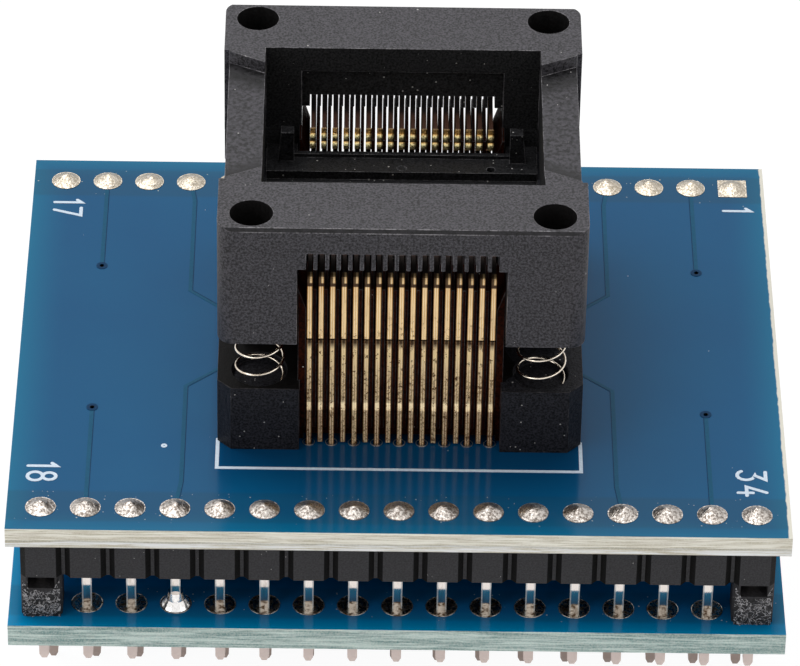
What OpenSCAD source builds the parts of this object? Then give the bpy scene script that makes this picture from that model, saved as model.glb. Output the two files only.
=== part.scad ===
// Programming adapter: an open-top spring socket for a 0.65 mm pitch chip on a two-board pin adapter.
// Z is up. The plug pins stand on Z = 0, the pin rows run along X and the socket is centred on Z.
// Socket heights are measured from the top face of the upper board, radii r from the middle of the bay.

/* [Boards] */
// Thickness of the upper circuit board
upper_t = 1.3; // [1:0.05:2.4]
// Thickness of the lower circuit board
lower_t = 1.45; // [1:0.05:2.4]
// Board left beyond the end pins
board_end_margin = 1.93; // [1.4:0.01:4]
// Board left beyond the outer pin rows
board_side_margin = 2.08; // [1.4:0.01:4]
// Shift of the boards' outlines across the pin rows, the upper to the rear and the lower to the front
board_skew = 0.07; // [0:0.01:0.2]

/* [Pins and headers] */
// Pins in each row, and contacts in each row of the socket
pin_count = 17; // [10:1:24]
// Spacing of the pins in a row
pin_pitch = 2.54; // [2.4:0.02:3]
// Width of a square pin
pin_w = 0.56; // [0.5:0.02:0.7]
// Length of the taper at a pin's ends
pin_taper = 0.4; // [0.2:0.05:0.8]
// Distance between the two riser rows that join the boards
riser_row_gap = 31.75; // [29:0.05:36]
// Distance between the two plug rows under the lower board
plug_row_gap = 15.24; // [10.16:0.02:17.78]
// Height of a plug header's plastic body
plug_header_h = 2.54; // [2:0.02:3.5]
// Height of a riser header's plastic body
riser_header_h = 2.84; // [2:0.02:3.5]
// Depth of a header's plastic body across its row
header_d = 2.5; // [2.2:0.05:3]
// Bevel at the corners of each cell of a header
header_bevel = 0.3; // [0.2:0.05:0.5]
// Width of the recessed web between two cells
header_web = 0.2; // [0.1:0.05:0.4]
// Height of the loose spacers under the ends of the riser headers
spacer_h = 2.85; // [2:0.05:5]
// Width of the notch in a spacer's top
spacer_notch_w = 1.55; // [1:0.05:1.7]
// Height of that notch
spacer_notch_h = 0.8; // [0.4:0.1:1.4]
// Plug pin below its header
plug_pin_drop = 6.9; // [5:0.1:9]
// Plug pin above the lower board
plug_pin_rise = 1.3; // [1.2:0.1:2]
// Riser pin above the upper board, buried in solder
riser_pin_rise = 0.35; // [0.1:0.05:0.4]
// Riser pin below the lower board
riser_pin_stub = 2.6; // [1.8:0.1:4]
// Free play of a pin's corners in its board hole, on the diameter
pin_hole_play = 0.1; // [0.05:0.01:0.2]

/* [Solder] */
// Width of a solder joint on its pad
pad_d = 1.72; // [1.5:0.02:2.2]
// Height of the domes on the upper board
dome_h = 0.55; // [0.5:0.05:0.9]
// Height of the fillets that climb the pins
fillet_h = 1; // [0.6:0.05:1.1]
// Width of the solder on a socket tail
tail_pad_d = 0.85; // [0.7:0.05:1]
// Height of the solder on a socket tail
tail_fillet_h = 0.5; // [0.3:0.05:0.6]
// Row position of the one riser pin that is soldered above the lower board
touched_up_pin = 4; // [2:1:9]

/* [Contacts] */
// Spacing of the contacts
contact_pitch = 0.65; // [0.63:0.01:0.8]
// Width of a contact strip
contact_w = 0.3; // [0.25:0.01:0.34]
// Thickness of a contact strip
contact_t = 0.2; // [0.15:0.01:0.24]
// Distance of the upright contact strips from the middle of the bay
contact_r = 9.4; // [9:0.1:10.5]
// Outward step of a strip's foot
foot_step = 0.2; // [0:0.05:0.4]
// Height at which the foot steps out
foot_step_z = 2.6; // [2:0.1:4]
// Inward step of every second tail, which staggers the board holes
tail_stagger = 1.3; // [1:0.05:1.6]
// Tail below the upper board
tail_drop = 0.8; // [0.6:0.05:1.2]
// Height of the knee where a contact flexes
knee_z = 7.4; // [6.5:0.1:8.5]
// Slit at the knee
knee_gap = 0.1; // [0.05:0.01:0.2]
// Strip between the knee and the top bend
lever_leg = 3.85; // [3:0.05:5]
// Inward lean of that strip at its top
lever_lean = 0.1; // [0:0.05:0.3]
// Radius of the top bend
bend_r = 0.35; // [0.25:0.05:0.6]
// Slope of the arm that falls towards the bay
arm_drop = 5; // [2:1:10]
// Length of that arm
arm_len = 3.6; // [3.2:0.05:4]
// Width of that arm
arm_w = 0.24; // [0.2:0.01:0.3]
// Length of the contact nib
nib_len = 0.98; // [0.7:0.02:1.2]
// Width of the contact nib
nib_w = 0.34; // [0.3:0.01:0.35]
// Slope of the contact nib
nib_drop = 72; // [60:1:80]

/* [Socket cover] */
// Travel of the cover when it is pressed
press_travel = 0.8; // [0.5:0.05:1]
// Free height over the contacts when the cover is pressed
head_room = 2.15; // [1.4:0.05:2.6]
// Roof over the comb slots
slot_roof = 1.65; // [1:0.05:2.5]
// Length of the comb teeth in the outer wall
front_tooth = 1.1; // [0.6:0.1:1.6]
// Distance of the inner comb beam from the bay
beam_setback = 0.5; // [0.3:0.05:0.8]
// Depth of that beam
beam_d = 1.1; // [0.8:0.05:1.4]
// Height of the slots in that beam
beam_slot = 0.82; // [0.8:0.01:1.1]
// Gap between that beam and the ribs when the cover is pressed
beam_gap = 0.13; // [0.12:0.01:0.3]
// Thickness of the outer wall over the contacts
front_wall = 1; // [0.8:0.1:1.4]
// Free play of a contact in its comb slot, on each side
slot_play = 0.06; // [0.04:0.01:0.1]
// Cover from its top to the foot of its corner legs
cover_h = 8; // [7:0.1:8.8]
// Width of a corner leg
leg_w = 4.5; // [4:0.1:6]
// Plastic between the outermost contact and a corner leg
cheek_w = 0.55; // [0.45:0.05:1]
// Overhang of the cover beyond the contact strips
cover_reach = 1.9; // [1.7:0.05:2.6]
// Depth of the bars that carry the combs, and of the corner legs
bar_d = 4.6; // [4.3:0.1:5]
// Width of the side rails
rail_w = 2.4; // [2:0.1:2.6]
// Height of the side rails, from the cover's top to their underside
rail_h = 5.7; // [4:0.1:6]
// Drop of the rails' top between the bars
rail_dip = 0.8; // [0.3:0.1:1.5]
// Distance of that drop from the bay's ends
dip_margin = 0.3; // [0:0.05:0.8]
// Slant of the ends of that drop, across a rail
dip_slant = 1.2; // [0.4:0.1:1.6]
// Set-back of the rails' outer faces
rail_inset = 0.3; // [0.1:0.05:0.5]
// Radius of the cover's upright outer corners
corner_r = 0.9; // [0.4:0.05:1.2]
// Bevel along the cover's top edges
top_bevel = 0.2; // [0.1:0.05:0.3]
// Width of a side latch
latch_w = 4.4; // [3:0.1:6]
// Thickness of a side latch
latch_t = 0.9; // [0.7:0.05:1]
// Reach of a latch's hook
hook_reach = 0.65; // [0.4:0.05:0.8]
// Height of a latch's hook
hook_h = 0.75; // [0.5:0.05:1.2]
// Free height under a hook when the cover is pressed
hook_floor_gap = 1.1; // [0.3:0.05:1.3]
// Play of a hook under its catch
hook_play = 0.05; // [0.02:0.01:0.1]
// Gap between a hook and the base behind it
hook_back_gap = 0.15; // [0.1:0.01:0.3]
// Side gap of a latch in its slot
latch_side_gap = 0.3; // [0.1:0.05:0.6]

/* [Socket base] */
// Thickness of the base's floor
floor_t = 1; // [0.8:0.1:1.6]
// Height of the corner blocks
block_h = 4.4; // [3.6:0.1:5]
// Set-back of the base's long faces under the cover
base_setback = 0.95; // [0.6:0.05:1]
// Overhang of the base beyond the cover's side faces
base_overhang = 0.05; // [0:0.01:0.2]
// Bevel of the base's upright outer corners
block_bevel = 0.8; // [0.4:0.05:1.2]
// Gap between the base's side walls and the rails when the cover is pressed
rail_gap = 0.25; // [0.15:0.05:0.6]
// Running gap between the base and the cover
slide_gap = 0.1; // [0.08:0.01:0.2]
// Thickness of the ribs between the contacts
rib_t = 0.2; // [0.12:0.01:0.2]
// Sideways shift of those ribs
rib_shift = 0.04; // [0:0.01:0.04]
// Drop from the contacts' crown to the top of the ribs
rib_drop = 0.8; // [0.6:0.05:1.4]
// Gap between the cheeks at the row's ends and the corner legs
cheek_gap = 0.04; // [0.03:0.01:0.1]
// Slant across the top of those cheeks
cheek_slant = 1.4; // [0.5:0.1:1.8]
// Drop from the knee to the tower's shoulder
shoulder_drop = 0.5; // [0.3:0.05:1]
// Drop from the lead ledges to the tower's edge
edge_drop = 0.5; // [0.3:0.05:0.9]
// Gap between the tower's ends and the bars
tower_gap = 0.6; // [0.3:0.05:0.9]

/* [Chip platform] */
// Width of a ledge that carries the chip's leads
lead_ledge = 0.3; // [0.2:0.05:0.8]
// Gap between a nib and its ledge, which a lead fills
lead_gap = 0.1; // [0.05:0.01:0.2]
// Height of the platform
platform_h = 1.15; // [1:0.05:1.6]
// Depth of the hollow under the chip's body
body_hollow = 0.25; // [0.1:0.05:0.35]
// Width of the flat strip inside a ledge
strip_w = 1.4; // [0.8:0.05:1.8]
// Depth of the well between the strips
well_depth = 0.55; // [0.2:0.05:0.6]
// Diameter of the small hole in a strip
strip_hole_d = 0.5; // [0.3:0.05:0.6]
// Depth of that hole
strip_hole_depth = 0.4; // [0.2:0.05:0.6]
// Distance of that hole from the middle of the bay
strip_hole_x = 5.2; // [2:0.1:6]
// Distance of the strip's marks from the well
mark_inset = 0.38; // [0.36:0.02:0.5]
// Outside diameter of the moulded ring in a strip
ring_d = 0.6; // [0.4:0.05:0.8]
// Depth and width of that ring
ring_t = 0.06; // [0.04:0.01:0.1]
// Distance of a corner guide from the end contact
guide_gap = 0.95; // [0.8:0.05:1.1]
// Width of a corner guide at its foot
guide_w = 1; // [0.7:0.05:1.2]
// Slant of a guide's outer face
guide_slant = 0.25; // [0.1:0.05:0.4]
// Depth of a corner guide along the bay's short side
guide_d = 0.7; // [0.5:0.05:1.4]
// Height of a corner guide over the ledges
guide_h = 1.75; // [1.3:0.05:2.2]

/* [Springs] */
// Outside diameter of a cover spring
spring_od = 2.9; // [2.4:0.05:2.95]
// Diameter of the spring wire
wire_d = 0.16; // [0.12:0.01:0.24]
// Turns in a spring
spring_turns = 7; // [5:1:9]
// Angle at which a spring's wire starts
spring_start = -25; // [-90:5:90]
// Distance of a spring's axis from the cover's side faces
spring_side_inset = 2.35; // [2.1:0.05:2.6]
// Distance of a spring's axis from the cover's long faces
spring_long_inset = 2.8; // [2.7:0.05:2.9]
// Free play round a spring in its seat and pocket
pocket_play = 0.15; // [0.1:0.01:0.2]
// Depth of a spring's seat in its corner block
seat_depth = 0.5; // [0.3:0.05:1]
// Depth of a spring's pocket in its leg
pocket_depth = 4.55; // [3.5:0.05:5]
// Diameter of the blind holes in the cover's top
top_hole_d = 2.45; // [2:0.05:2.6]
// Depth of those holes
top_hole_depth = 2.4; // [1:0.1:2.8]
// Distance of those holes from the cover's side faces
top_hole_side_inset = 1.9; // [1.6:0.05:2.4]
// Distance of those holes from the cover's long faces
top_hole_long_inset = 1.6; // [1.5:0.05:2]

/* [Hidden] */
$fn = 48;

FRONT = -1;
REAR = 1;
LEFT = -1;
RIGHT = 1;
past = 1;              // how far a cut runs past the face it opens

// Colours
mask_blue = [0.10, 0.33, 0.49];
plastic_black = [0.13, 0.13, 0.14];
cover_grey = [0.25, 0.25, 0.27];
base_black = [0.07, 0.07, 0.08];
tin = [0.78, 0.77, 0.74];
solder_grey = [0.70, 0.70, 0.69];
contact_gold = [0.80, 0.63, 0.32];
spring_steel = [0.75, 0.74, 0.72];

// Stack of boards, from the plug pins' tips up
plug_header_z = plug_pin_drop;
lower_board_z = plug_header_z + plug_header_h;
lower_top_z = lower_board_z + lower_t;
riser_header_z = lower_top_z + spacer_h;
upper_board_z = riser_header_z + riser_header_h;
upper_top_z = upper_board_z + upper_t;

// Boards
row_len = (pin_count - 1) * pin_pitch;
riser_y = riser_row_gap / 2;
plug_y = plug_row_gap / 2;
board_l = row_len + 2 * board_end_margin;
board_w = riser_row_gap + 2 * board_side_margin;
pin_hole_d = norm([pin_w, pin_w]) + pin_hole_play;
tail_hole_d = norm([contact_w, contact_t]) + pin_hole_play;

// Contact row and the socket's plan
row_half = (pin_count - 1) / 2 * contact_pitch;
notch_half = row_half + contact_w / 2 + cheek_w;
cheek_half = notch_half - cheek_gap;
wing_half = notch_half + slide_gap;
cover_half_w = notch_half + leg_w;
cover_half_d = contact_r + cover_reach;
bay_half_w = cover_half_w - rail_w;
bay_half_d = cover_half_d - bar_d;
spring_x = cover_half_w - spring_side_inset;
spring_y = cover_half_d - spring_long_inset;
pocket_d = spring_od + 2 * pocket_play;

// Contact shape in the plane of r and height
stem_back = contact_r - contact_t / 2;
foot_r = contact_r + foot_step;
tail_turn_z = contact_t;
lever_top = [contact_r - lever_lean, knee_z + lever_leg];
bend_centre = lever_top - [bend_r, 0];
bend_turn = 90 + arm_drop;
bend_steps = 6;
bend_path = [for (i = [1:bend_steps])
    bend_centre + bend_r * [cos(bend_turn * i / bend_steps), sin(bend_turn * i / bend_steps)]];
arm_end = bend_path[bend_steps - 1] - arm_len * [cos(arm_drop), sin(arm_drop)];
nib_end = arm_end - nib_len * [cos(nib_drop), sin(nib_drop)];
lever_path = concat([[contact_r, knee_z], lever_top], bend_path, [arm_end, nib_end]);
nib_path = [arm_end + contact_w * [cos(arm_drop), sin(arm_drop)], arm_end, nib_end];
lever_crown_z = bend_centre[1] + bend_r + contact_t / 2;

// Cover heights
cover_top_z = lever_crown_z + press_travel + head_room + slot_roof;
slot_roof_z = cover_top_z - slot_roof;
front_tooth_z = slot_roof_z - front_tooth;
rib_top_z = lever_crown_z - rib_drop;
beam_tooth_z = rib_top_z + press_travel + beam_gap;
beam_slot_z = beam_tooth_z + beam_slot;
beam_in = bay_half_d + beam_setback;
leg_foot_z = cover_top_z - cover_h;
rail_foot_z = cover_top_z - rail_h;
pocket_roof_z = leg_foot_z + pocket_depth;
rail_half = cover_half_w - rail_inset;
dip_half = bay_half_d - dip_margin;

// Latches and their catches
catch_z = floor_t + press_travel + hook_h + hook_floor_gap;
hook_top_z = catch_z - hook_play;
latch_inner = rail_half - latch_t;
catch_half = latch_inner - slide_gap;
latch_slot_w = latch_w + 2 * latch_side_gap;
side_wall_z = rail_foot_z - press_travel - rail_gap;

// Base and platform
base_half_w = cover_half_w + base_overhang;
base_half_d = cover_half_d - base_setback;
lead_z = nib_end[1] - contact_t / 2 - lead_gap;
platform_z = lead_z - platform_h;
platform_half_d = nib_end[0];
platform_half_w = bay_half_w - slide_gap;
strip_z = lead_z - body_hollow;
ledge_half_w = row_half + contact_w / 2 + guide_gap;
well_half = platform_half_d - lead_ledge - strip_w;
tower_half_d = bay_half_d - tower_gap;
shoulder_z = knee_z - shoulder_drop;
tail_groove_z = tail_turn_z + contact_t;
seat_z = block_h - seat_depth;

function pin_x(i) = (i - (pin_count - 1) / 2) * pin_pitch;
function contact_x(i) = (i - (pin_count - 1) / 2) * contact_pitch;
function is_outer_tail(i) = i % 2 == 0;

// Outline of a strip of thickness t that follows a path of points
function unit(v) = v / norm(v);
function left_of(a, b) = let (d = unit(b - a)) [-d[1], d[0]];
function mitre(path, i) =
    let (last = len(path) - 1)
    i == 0 ? left_of(path[0], path[1]) :
    i == last ? left_of(path[last - 1], path[last]) :
    let (n0 = left_of(path[i - 1], path[i]), n1 = left_of(path[i], path[i + 1]))
    (n0 + n1) / (1 + n0 * n1);
function ribbon(path, t) = concat(
    [for (i = [0:len(path) - 1]) path[i] + mitre(path, i) * t / 2],
    [for (i = [len(path) - 1:-1:0]) path[i] - mitre(path, i) * t / 2]);

// Upright strip of a contact with its tail; every second tail steps inward under the base
function stem_path(outer_tail) = concat(
    outer_tail
        ? [[foot_r, -upper_t - tail_drop]]
        : [for (z = [-upper_t - tail_drop, tail_turn_z]) [foot_r - tail_stagger, z]],
    outer_tail ? [] : [[foot_r, tail_turn_z]],
    [[foot_r, foot_step_z - foot_step], [contact_r, foot_step_z + foot_step],
     [contact_r, knee_z - knee_gap]]);

// Plan of a header body: a chain of bevelled cells with webs between them
cell_half = (pin_pitch - header_web) / 2;
face_half = cell_half - header_bevel;
function cell_edge(n, side) = [for (i = [0:n - 1], x = [-cell_half, -face_half, face_half, cell_half])
    [(i - (n - 1) / 2) * pin_pitch + x,
     side * (header_d / 2 - (abs(x) == cell_half ? header_bevel : 0))]];
function reversed(list) = [for (i = [len(list) - 1:-1:0]) list[i]];
function header_plan(n) = concat(cell_edge(n, FRONT), reversed(cell_edge(n, REAR)));

// Placing helpers
module at_side(side) {
    if (side == FRONT) mirror([0, 1, 0]) children();
    else children();
}

module on_upper_board() {
    translate([0, 0, upper_top_z]) children();
}

module along_x(width) {
    rotate([90, 0, 90]) linear_extrude(width, center = true) children();
}

module at_pins(y) {
    for (i = [0:pin_count - 1]) translate([pin_x(i), y, 0]) children();
}

module box(low, high) {
    translate(low) cube(high - low);
}

module four_corners(x, y) {
    for (sx = [LEFT, RIGHT], sy = [FRONT, REAR]) translate([sx * x, sy * y, 0]) children();
}

// Boards
module board(t, skew) {
    translate([-board_l / 2, skew - board_w / 2, 0]) cube([board_l, board_w, t]);
}

module board_hole(t, d) {
    translate([0, 0, -past]) cylinder(h = t + 2 * past, d = d);
}

module at_tails() {
    for (i = [0:pin_count - 1])
        translate([contact_x(i), is_outer_tail(i) ? foot_r : foot_r - tail_stagger, 0]) children();
}

module lower_board() {
    color(mask_blue) translate([0, 0, lower_board_z]) difference() {
        board(lower_t, -board_skew);
        for (side = [FRONT, REAR], y = [riser_y, plug_y]) at_pins(side * y) board_hole(lower_t, pin_hole_d);
    }
}

module upper_board() {
    color(mask_blue) translate([0, 0, upper_board_z]) difference() {
        board(upper_t, board_skew);
        for (side = [FRONT, REAR]) {
            at_pins(side * riser_y) board_hole(upper_t, pin_hole_d);
            at_side(side) at_tails() board_hole(upper_t, tail_hole_d);
        }
    }
}

// Square pins and moulded headers
module pin(z0, z1) {
    half = pin_w / 2;
    tip = pin_w / 4;
    profile = [[-tip, z0], [tip, z0], [half, z0 + pin_taper], [half, z1 - pin_taper],
               [tip, z1], [-tip, z1], [-half, z1 - pin_taper], [-half, z0 + pin_taper]];
    intersection() {
        along_x(2 * pin_w) polygon(profile);
        rotate([0, 0, 90]) along_x(2 * pin_w) polygon(profile);
    }
}

module header_body(n, h) {
    linear_extrude(h) difference() {
        polygon(header_plan(n));
        for (i = [0:n - 1]) translate([(i - (n - 1) / 2) * pin_pitch, 0]) square(pin_w, center = true);
    }
}

module plug_pin() {
    pin(0, lower_top_z + plug_pin_rise);
}

module riser_pin() {
    pin(lower_board_z - riser_pin_stub, upper_top_z + riser_pin_rise);
}

module plug_header(side) {
    color(plastic_black) translate([0, side * plug_y, plug_header_z]) header_body(pin_count, plug_header_h);
}

module plug_pins(side) {
    color(tin) at_pins(side * plug_y) plug_pin();
}

module riser_header(side) {
    color(plastic_black) translate([0, side * riser_y, riser_header_z])
        header_body(pin_count, riser_header_h);
}

module riser_pins(side) {
    color(tin) at_pins(side * riser_y) riser_pin();
}

// A single cell cut from a header, threaded on an end pin to hold the boards apart
module spacer(end, side) {
    color(plastic_black) translate([end * row_len / 2, side * riser_y, lower_top_z]) at_side(side)
        difference() {
            header_body(1, spacer_h);
            box([-spacer_notch_w / 2, 0, spacer_h - spacer_notch_h],
                [spacer_notch_w / 2, header_d, spacer_h + past]);
        }
}

// Solder joints
module dome() {
    ball_r = (pow(pad_d / 2, 2) + pow(dome_h, 2)) / (2 * dome_h);
    intersection() {
        translate([0, 0, dome_h - ball_r]) sphere(ball_r);
        cylinder(h = dome_h, d = 2 * pad_d);
    }
}

// Solder that climbs a round core; the curve gives shares of the foot's reach and of the height
module fillet(d, h, core) {
    waist = core / 2;
    reach = d / 2 - waist;
    curve = [[1, 0], [0.65, 0.2], [0.25, 0.5], [0, 1]];
    rotate_extrude()
        polygon(concat([[0, 0]], [for (c = curve) [waist + c[0] * reach, c[1] * h]], [[0, h]]));
}

module pin_fillet() {
    fillet(pad_d, fillet_h, pin_hole_d);
}

module top_solder(side) {
    color(solder_grey) at_pins(side * riser_y) difference() {
        translate([0, 0, upper_top_z]) dome();
        riser_pin();
    }
}

module stub_solder(side) {
    color(solder_grey) at_pins(side * riser_y) difference() {
        translate([0, 0, lower_board_z]) mirror([0, 0, 1]) pin_fillet();
        riser_pin();
    }
}

module plug_solder(side) {
    color(solder_grey) at_pins(side * plug_y) difference() {
        translate([0, 0, lower_top_z]) pin_fillet();
        plug_pin();
    }
}

module touch_up_solder() {
    color(solder_grey) translate([pin_x(touched_up_pin - 1), -riser_y, 0]) difference() {
        translate([0, 0, lower_top_z]) pin_fillet();
        riser_pin();
    }
}

module tail_solder(side) {
    color(solder_grey) translate([0, 0, upper_board_z]) at_side(side) at_tails() difference() {
        mirror([0, 0, 1]) fillet(tail_pad_d, tail_fillet_h, tail_hole_d);
        cube([contact_w, contact_t, 4 * tail_fillet_h], center = true);
    }
}

// Contacts: a fixed strip up to the knee, and the lever that swings out over it
module contact_stems(side) {
    color(contact_gold) on_upper_board() at_side(side)
        for (i = [0:pin_count - 1]) translate([contact_x(i), 0, 0])
            along_x(contact_w) polygon(ribbon(stem_path(is_outer_tail(i)), contact_t));
}

// A lever is narrow along its arm and broad at its nib
module lever() {
    difference() {
        along_x(contact_w) polygon(ribbon(lever_path, contact_t));
        for (end = [0, 1]) mirror([end, 0, 0])
            box([arm_w / 2, arm_end[0], rib_top_z], [contact_w, bend_centre[0], cover_top_z]);
    }
    along_x(nib_w) polygon(ribbon(nib_path, contact_t));
}

module contact_levers(side) {
    color(contact_gold) on_upper_board() at_side(side)
        for (i = [0:pin_count - 1]) translate([contact_x(i), 0, 0]) lever();
}

// Socket base: floor, corner blocks, the tower that carries the chip, and ribs between the contacts
module tower_half() {
    edge = [platform_half_d + slide_gap, lead_z - edge_drop];
    along_x(2 * cheek_half) polygon([[0, 0], [stem_back, 0], [stem_back, shoulder_z], edge,
        [edge[0], platform_z], [0, platform_z]]);
    along_x(2 * platform_half_w) square([tower_half_d, platform_z]);
}

module rib_plan() {
    inner = platform_half_d + slide_gap;
    outer = contact_r + contact_t / 2;
    polygon([[inner, platform_z], [inner, rib_top_z], [outer, rib_top_z], [outer, floor_t],
             [stem_back - rib_t, floor_t]]);
}

// A cheek closes the row at each end; its top falls towards the contacts, and a wing towards the bay
// covers the gap beside the corner leg
module cheek() {
    inner = row_half + contact_w / 2 + slot_play;
    intersection() {
        union() {
            translate([(inner + cheek_half) / 2, 0, 0]) along_x(cheek_half - inner) rib_plan();
            box([cheek_half - slide_gap, platform_half_d + slide_gap, platform_z],
                [wing_half, bay_half_d - slide_gap, rib_top_z]);
        }
        rotate([90, 0, 0]) mirror([0, 0, 1]) linear_extrude(cover_half_d)
            polygon([[inner, 0], [wing_half, 0], [wing_half, rib_top_z], [cheek_half, rib_top_z],
                     [inner, rib_top_z - cheek_slant]]);
    }
}

module ribs_half() {
    for (i = [1:pin_count - 1])
        translate([contact_x(i) - contact_pitch / 2 - rib_shift, 0, 0]) along_x(rib_t) rib_plan();
    for (end = [0, 1]) mirror([end, 0, 0]) cheek();
}

module corner_block() {
    outer = [base_half_w, base_half_d];
    linear_extrude(block_h) polygon([[cheek_half - slide_gap, tower_half_d - past],
        [outer[0], tower_half_d - past], [outer[0], outer[1] - block_bevel],
        [outer[0] - block_bevel, outer[1]], [cheek_half - slide_gap, outer[1]]]);
}

module side_wall() {
    half = latch_slot_w / 2;
    inner = platform_half_w - past;
    box([inner, -tower_half_d, 0], [catch_half, tower_half_d, platform_z]);
    box([platform_half_w, -tower_half_d, 0], [catch_half, tower_half_d, side_wall_z]);
    box([inner, -tower_half_d, 0], [base_half_w, tower_half_d, floor_t]);
    for (side = [FRONT, REAR]) at_side(side)
        box([inner, half, 0], [base_half_w, tower_half_d, block_h]);
}

module latch_window() {
    box([latch_inner - hook_reach - hook_back_gap, -latch_slot_w / 2, floor_t],
        [base_half_w + past, latch_slot_w / 2, catch_z]);
}

module socket_base() {
    color(base_black) on_upper_board() difference() {
        union() {
            for (side = [FRONT, REAR]) at_side(side) {
                tower_half();
                ribs_half();
                for (end = [0, 1]) mirror([end, 0, 0]) corner_block();
            }
            for (end = [0, 1]) mirror([end, 0, 0]) side_wall();
        }
        for (end = [0, 1]) mirror([end, 0, 0]) latch_window();
        four_corners(spring_x, spring_y) translate([0, 0, seat_z])
            cylinder(h = seat_depth + past, d = pocket_d);
        for (side = [FRONT, REAR]) at_side(side)
            box([-row_half - contact_w, foot_r - tail_stagger - contact_t, -past],
                [row_half + contact_w, contact_r + past, tail_groove_z]);
    }
}

// Platform: lead ledges on both long sides with flat strips inside them, a well under the chip's body
// and four corner guides
module corner_guide() {
    outer = ledge_half_w + guide_w;
    top = lead_z + guide_h;
    translate([0, platform_half_d - guide_d, 0]) rotate([90, 0, 0]) mirror([0, 0, 1])
        linear_extrude(guide_d) polygon([[ledge_half_w, platform_z], [ledge_half_w, top],
            [outer - guide_slant, top], [outer, platform_z]]);
}

module strip_marks() {
    y = well_half + mark_inset;
    translate([strip_hole_x, y, strip_z - strip_hole_depth])
        cylinder(h = strip_hole_depth + past, d = strip_hole_d);
    translate([0, y, strip_z - ring_t]) difference() {
        cylinder(h = ring_t + past, d = ring_d);
        translate([0, 0, -past]) cylinder(h = ring_t + 3 * past, d = ring_d - 2 * ring_t);
    }
}

module chip_platform() {
    end_in = wing_half + slide_gap;
    color(base_black) on_upper_board() difference() {
        union() {
            box([-platform_half_w, -platform_half_d, platform_z],
                [platform_half_w, platform_half_d, strip_z]);
            for (end = [0, 1]) mirror([end, 0, 0])
                box([end_in, -tower_half_d, platform_z], [platform_half_w, tower_half_d, strip_z]);
            for (side = [FRONT, REAR]) at_side(side) {
                box([-ledge_half_w, platform_half_d - lead_ledge, platform_z],
                    [ledge_half_w, platform_half_d, lead_z]);
                for (end = [0, 1]) mirror([end, 0, 0]) corner_guide();
            }
        }
        box([-platform_half_w - past, -well_half, strip_z - well_depth],
            [platform_half_w + past, well_half, cover_top_z]);
        for (turn = [0, 180]) rotate([0, 0, turn]) strip_marks();
    }
}

// Cover: two comb bars on corner legs, joined by side rails with latches
module cover_plan() {
    square([2 * cover_half_w, 2 * (cover_half_d - corner_r)], center = true);
    square([2 * (cover_half_w - corner_r), 2 * cover_half_d], center = true);
    four_corners(cover_half_w - corner_r, cover_half_d - corner_r) circle(corner_r);
}

// Room for a row of contacts under a bar: teeth in the outer wall and in a beam nearer the bay
module comb_notch_half() {
    outer = cover_half_d + past;
    wall = cover_half_d - front_wall;
    beam_out = beam_in + beam_d;
    inner = bay_half_d - past;
    low = leg_foot_z - past;
    slot_half = contact_w / 2 + slot_play;
    along_x(2 * notch_half) polygon([[inner, low], [outer, low], [outer, front_tooth_z],
        [wall, front_tooth_z], [wall, slot_roof_z], [beam_out, slot_roof_z], [beam_out, beam_tooth_z],
        [beam_in, beam_tooth_z], [beam_in, slot_roof_z], [inner, slot_roof_z]]);
    for (i = [0:pin_count - 1]) translate([contact_x(i), 0, 0]) {
        box([-slot_half, inner, low], [slot_half, wall, beam_slot_z]);
        box([-slot_half, (beam_out + wall) / 2, low], [slot_half, outer, slot_roof_z]);
    }
}

module rail_cuts() {
    outer = cover_half_w + past;
    inner = bay_half_w - past;
    function dip_at(x) = dip_half - dip_slant * (cover_half_w - x) / rail_w;
    box([inner, -bay_half_d, leg_foot_z - past], [outer, bay_half_d, rail_foot_z]);
    box([rail_half, -dip_half, leg_foot_z - past], [outer, dip_half, cover_top_z + past]);
    translate([0, 0, cover_top_z - rail_dip]) linear_extrude(rail_dip + past)
        polygon([[inner, -dip_at(inner)], [outer, -dip_at(outer)], [outer, dip_at(outer)],
                 [inner, dip_at(inner)]]);
}

module latch() {
    hook_low = hook_top_z - hook_h;
    translate([0, latch_w / 2, 0]) rotate([90, 0, 0]) linear_extrude(latch_w)
        polygon([[latch_inner, rail_foot_z + past], [rail_half, rail_foot_z + past],
            [rail_half, hook_low], [latch_inner - hook_reach / 3, hook_low],
            [latch_inner - hook_reach, hook_top_z - hook_h / 3], [latch_inner - hook_reach, hook_top_z],
            [latch_inner, hook_top_z]]);
}

module top_edge_bevel() {
    side = norm([top_bevel, top_bevel]);
    for (sy = [FRONT, REAR]) translate([0, sy * cover_half_d, cover_top_z])
        rotate([45, 0, 0]) cube([4 * cover_half_w, side, side], center = true);
}

module cover() {
    color(cover_grey) on_upper_board() union() {
        difference() {
            translate([0, 0, leg_foot_z]) linear_extrude(cover_h) cover_plan();
            box([-bay_half_w, -bay_half_d, leg_foot_z - past], [bay_half_w, bay_half_d, cover_top_z + past]);
            for (side = [FRONT, REAR]) at_side(side) comb_notch_half();
            for (end = [0, 1]) mirror([end, 0, 0]) rail_cuts();
            top_edge_bevel();
            four_corners(spring_x, spring_y) translate([0, 0, leg_foot_z - past])
                cylinder(h = pocket_depth + past, d = pocket_d);
            four_corners(cover_half_w - top_hole_side_inset, cover_half_d - top_hole_long_inset)
                translate([0, 0, cover_top_z - top_hole_depth])
                    cylinder(h = top_hole_depth + past, d = top_hole_d);
        }
        for (end = [0, 1]) mirror([end, 0, 0]) latch();
    }
}

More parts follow.
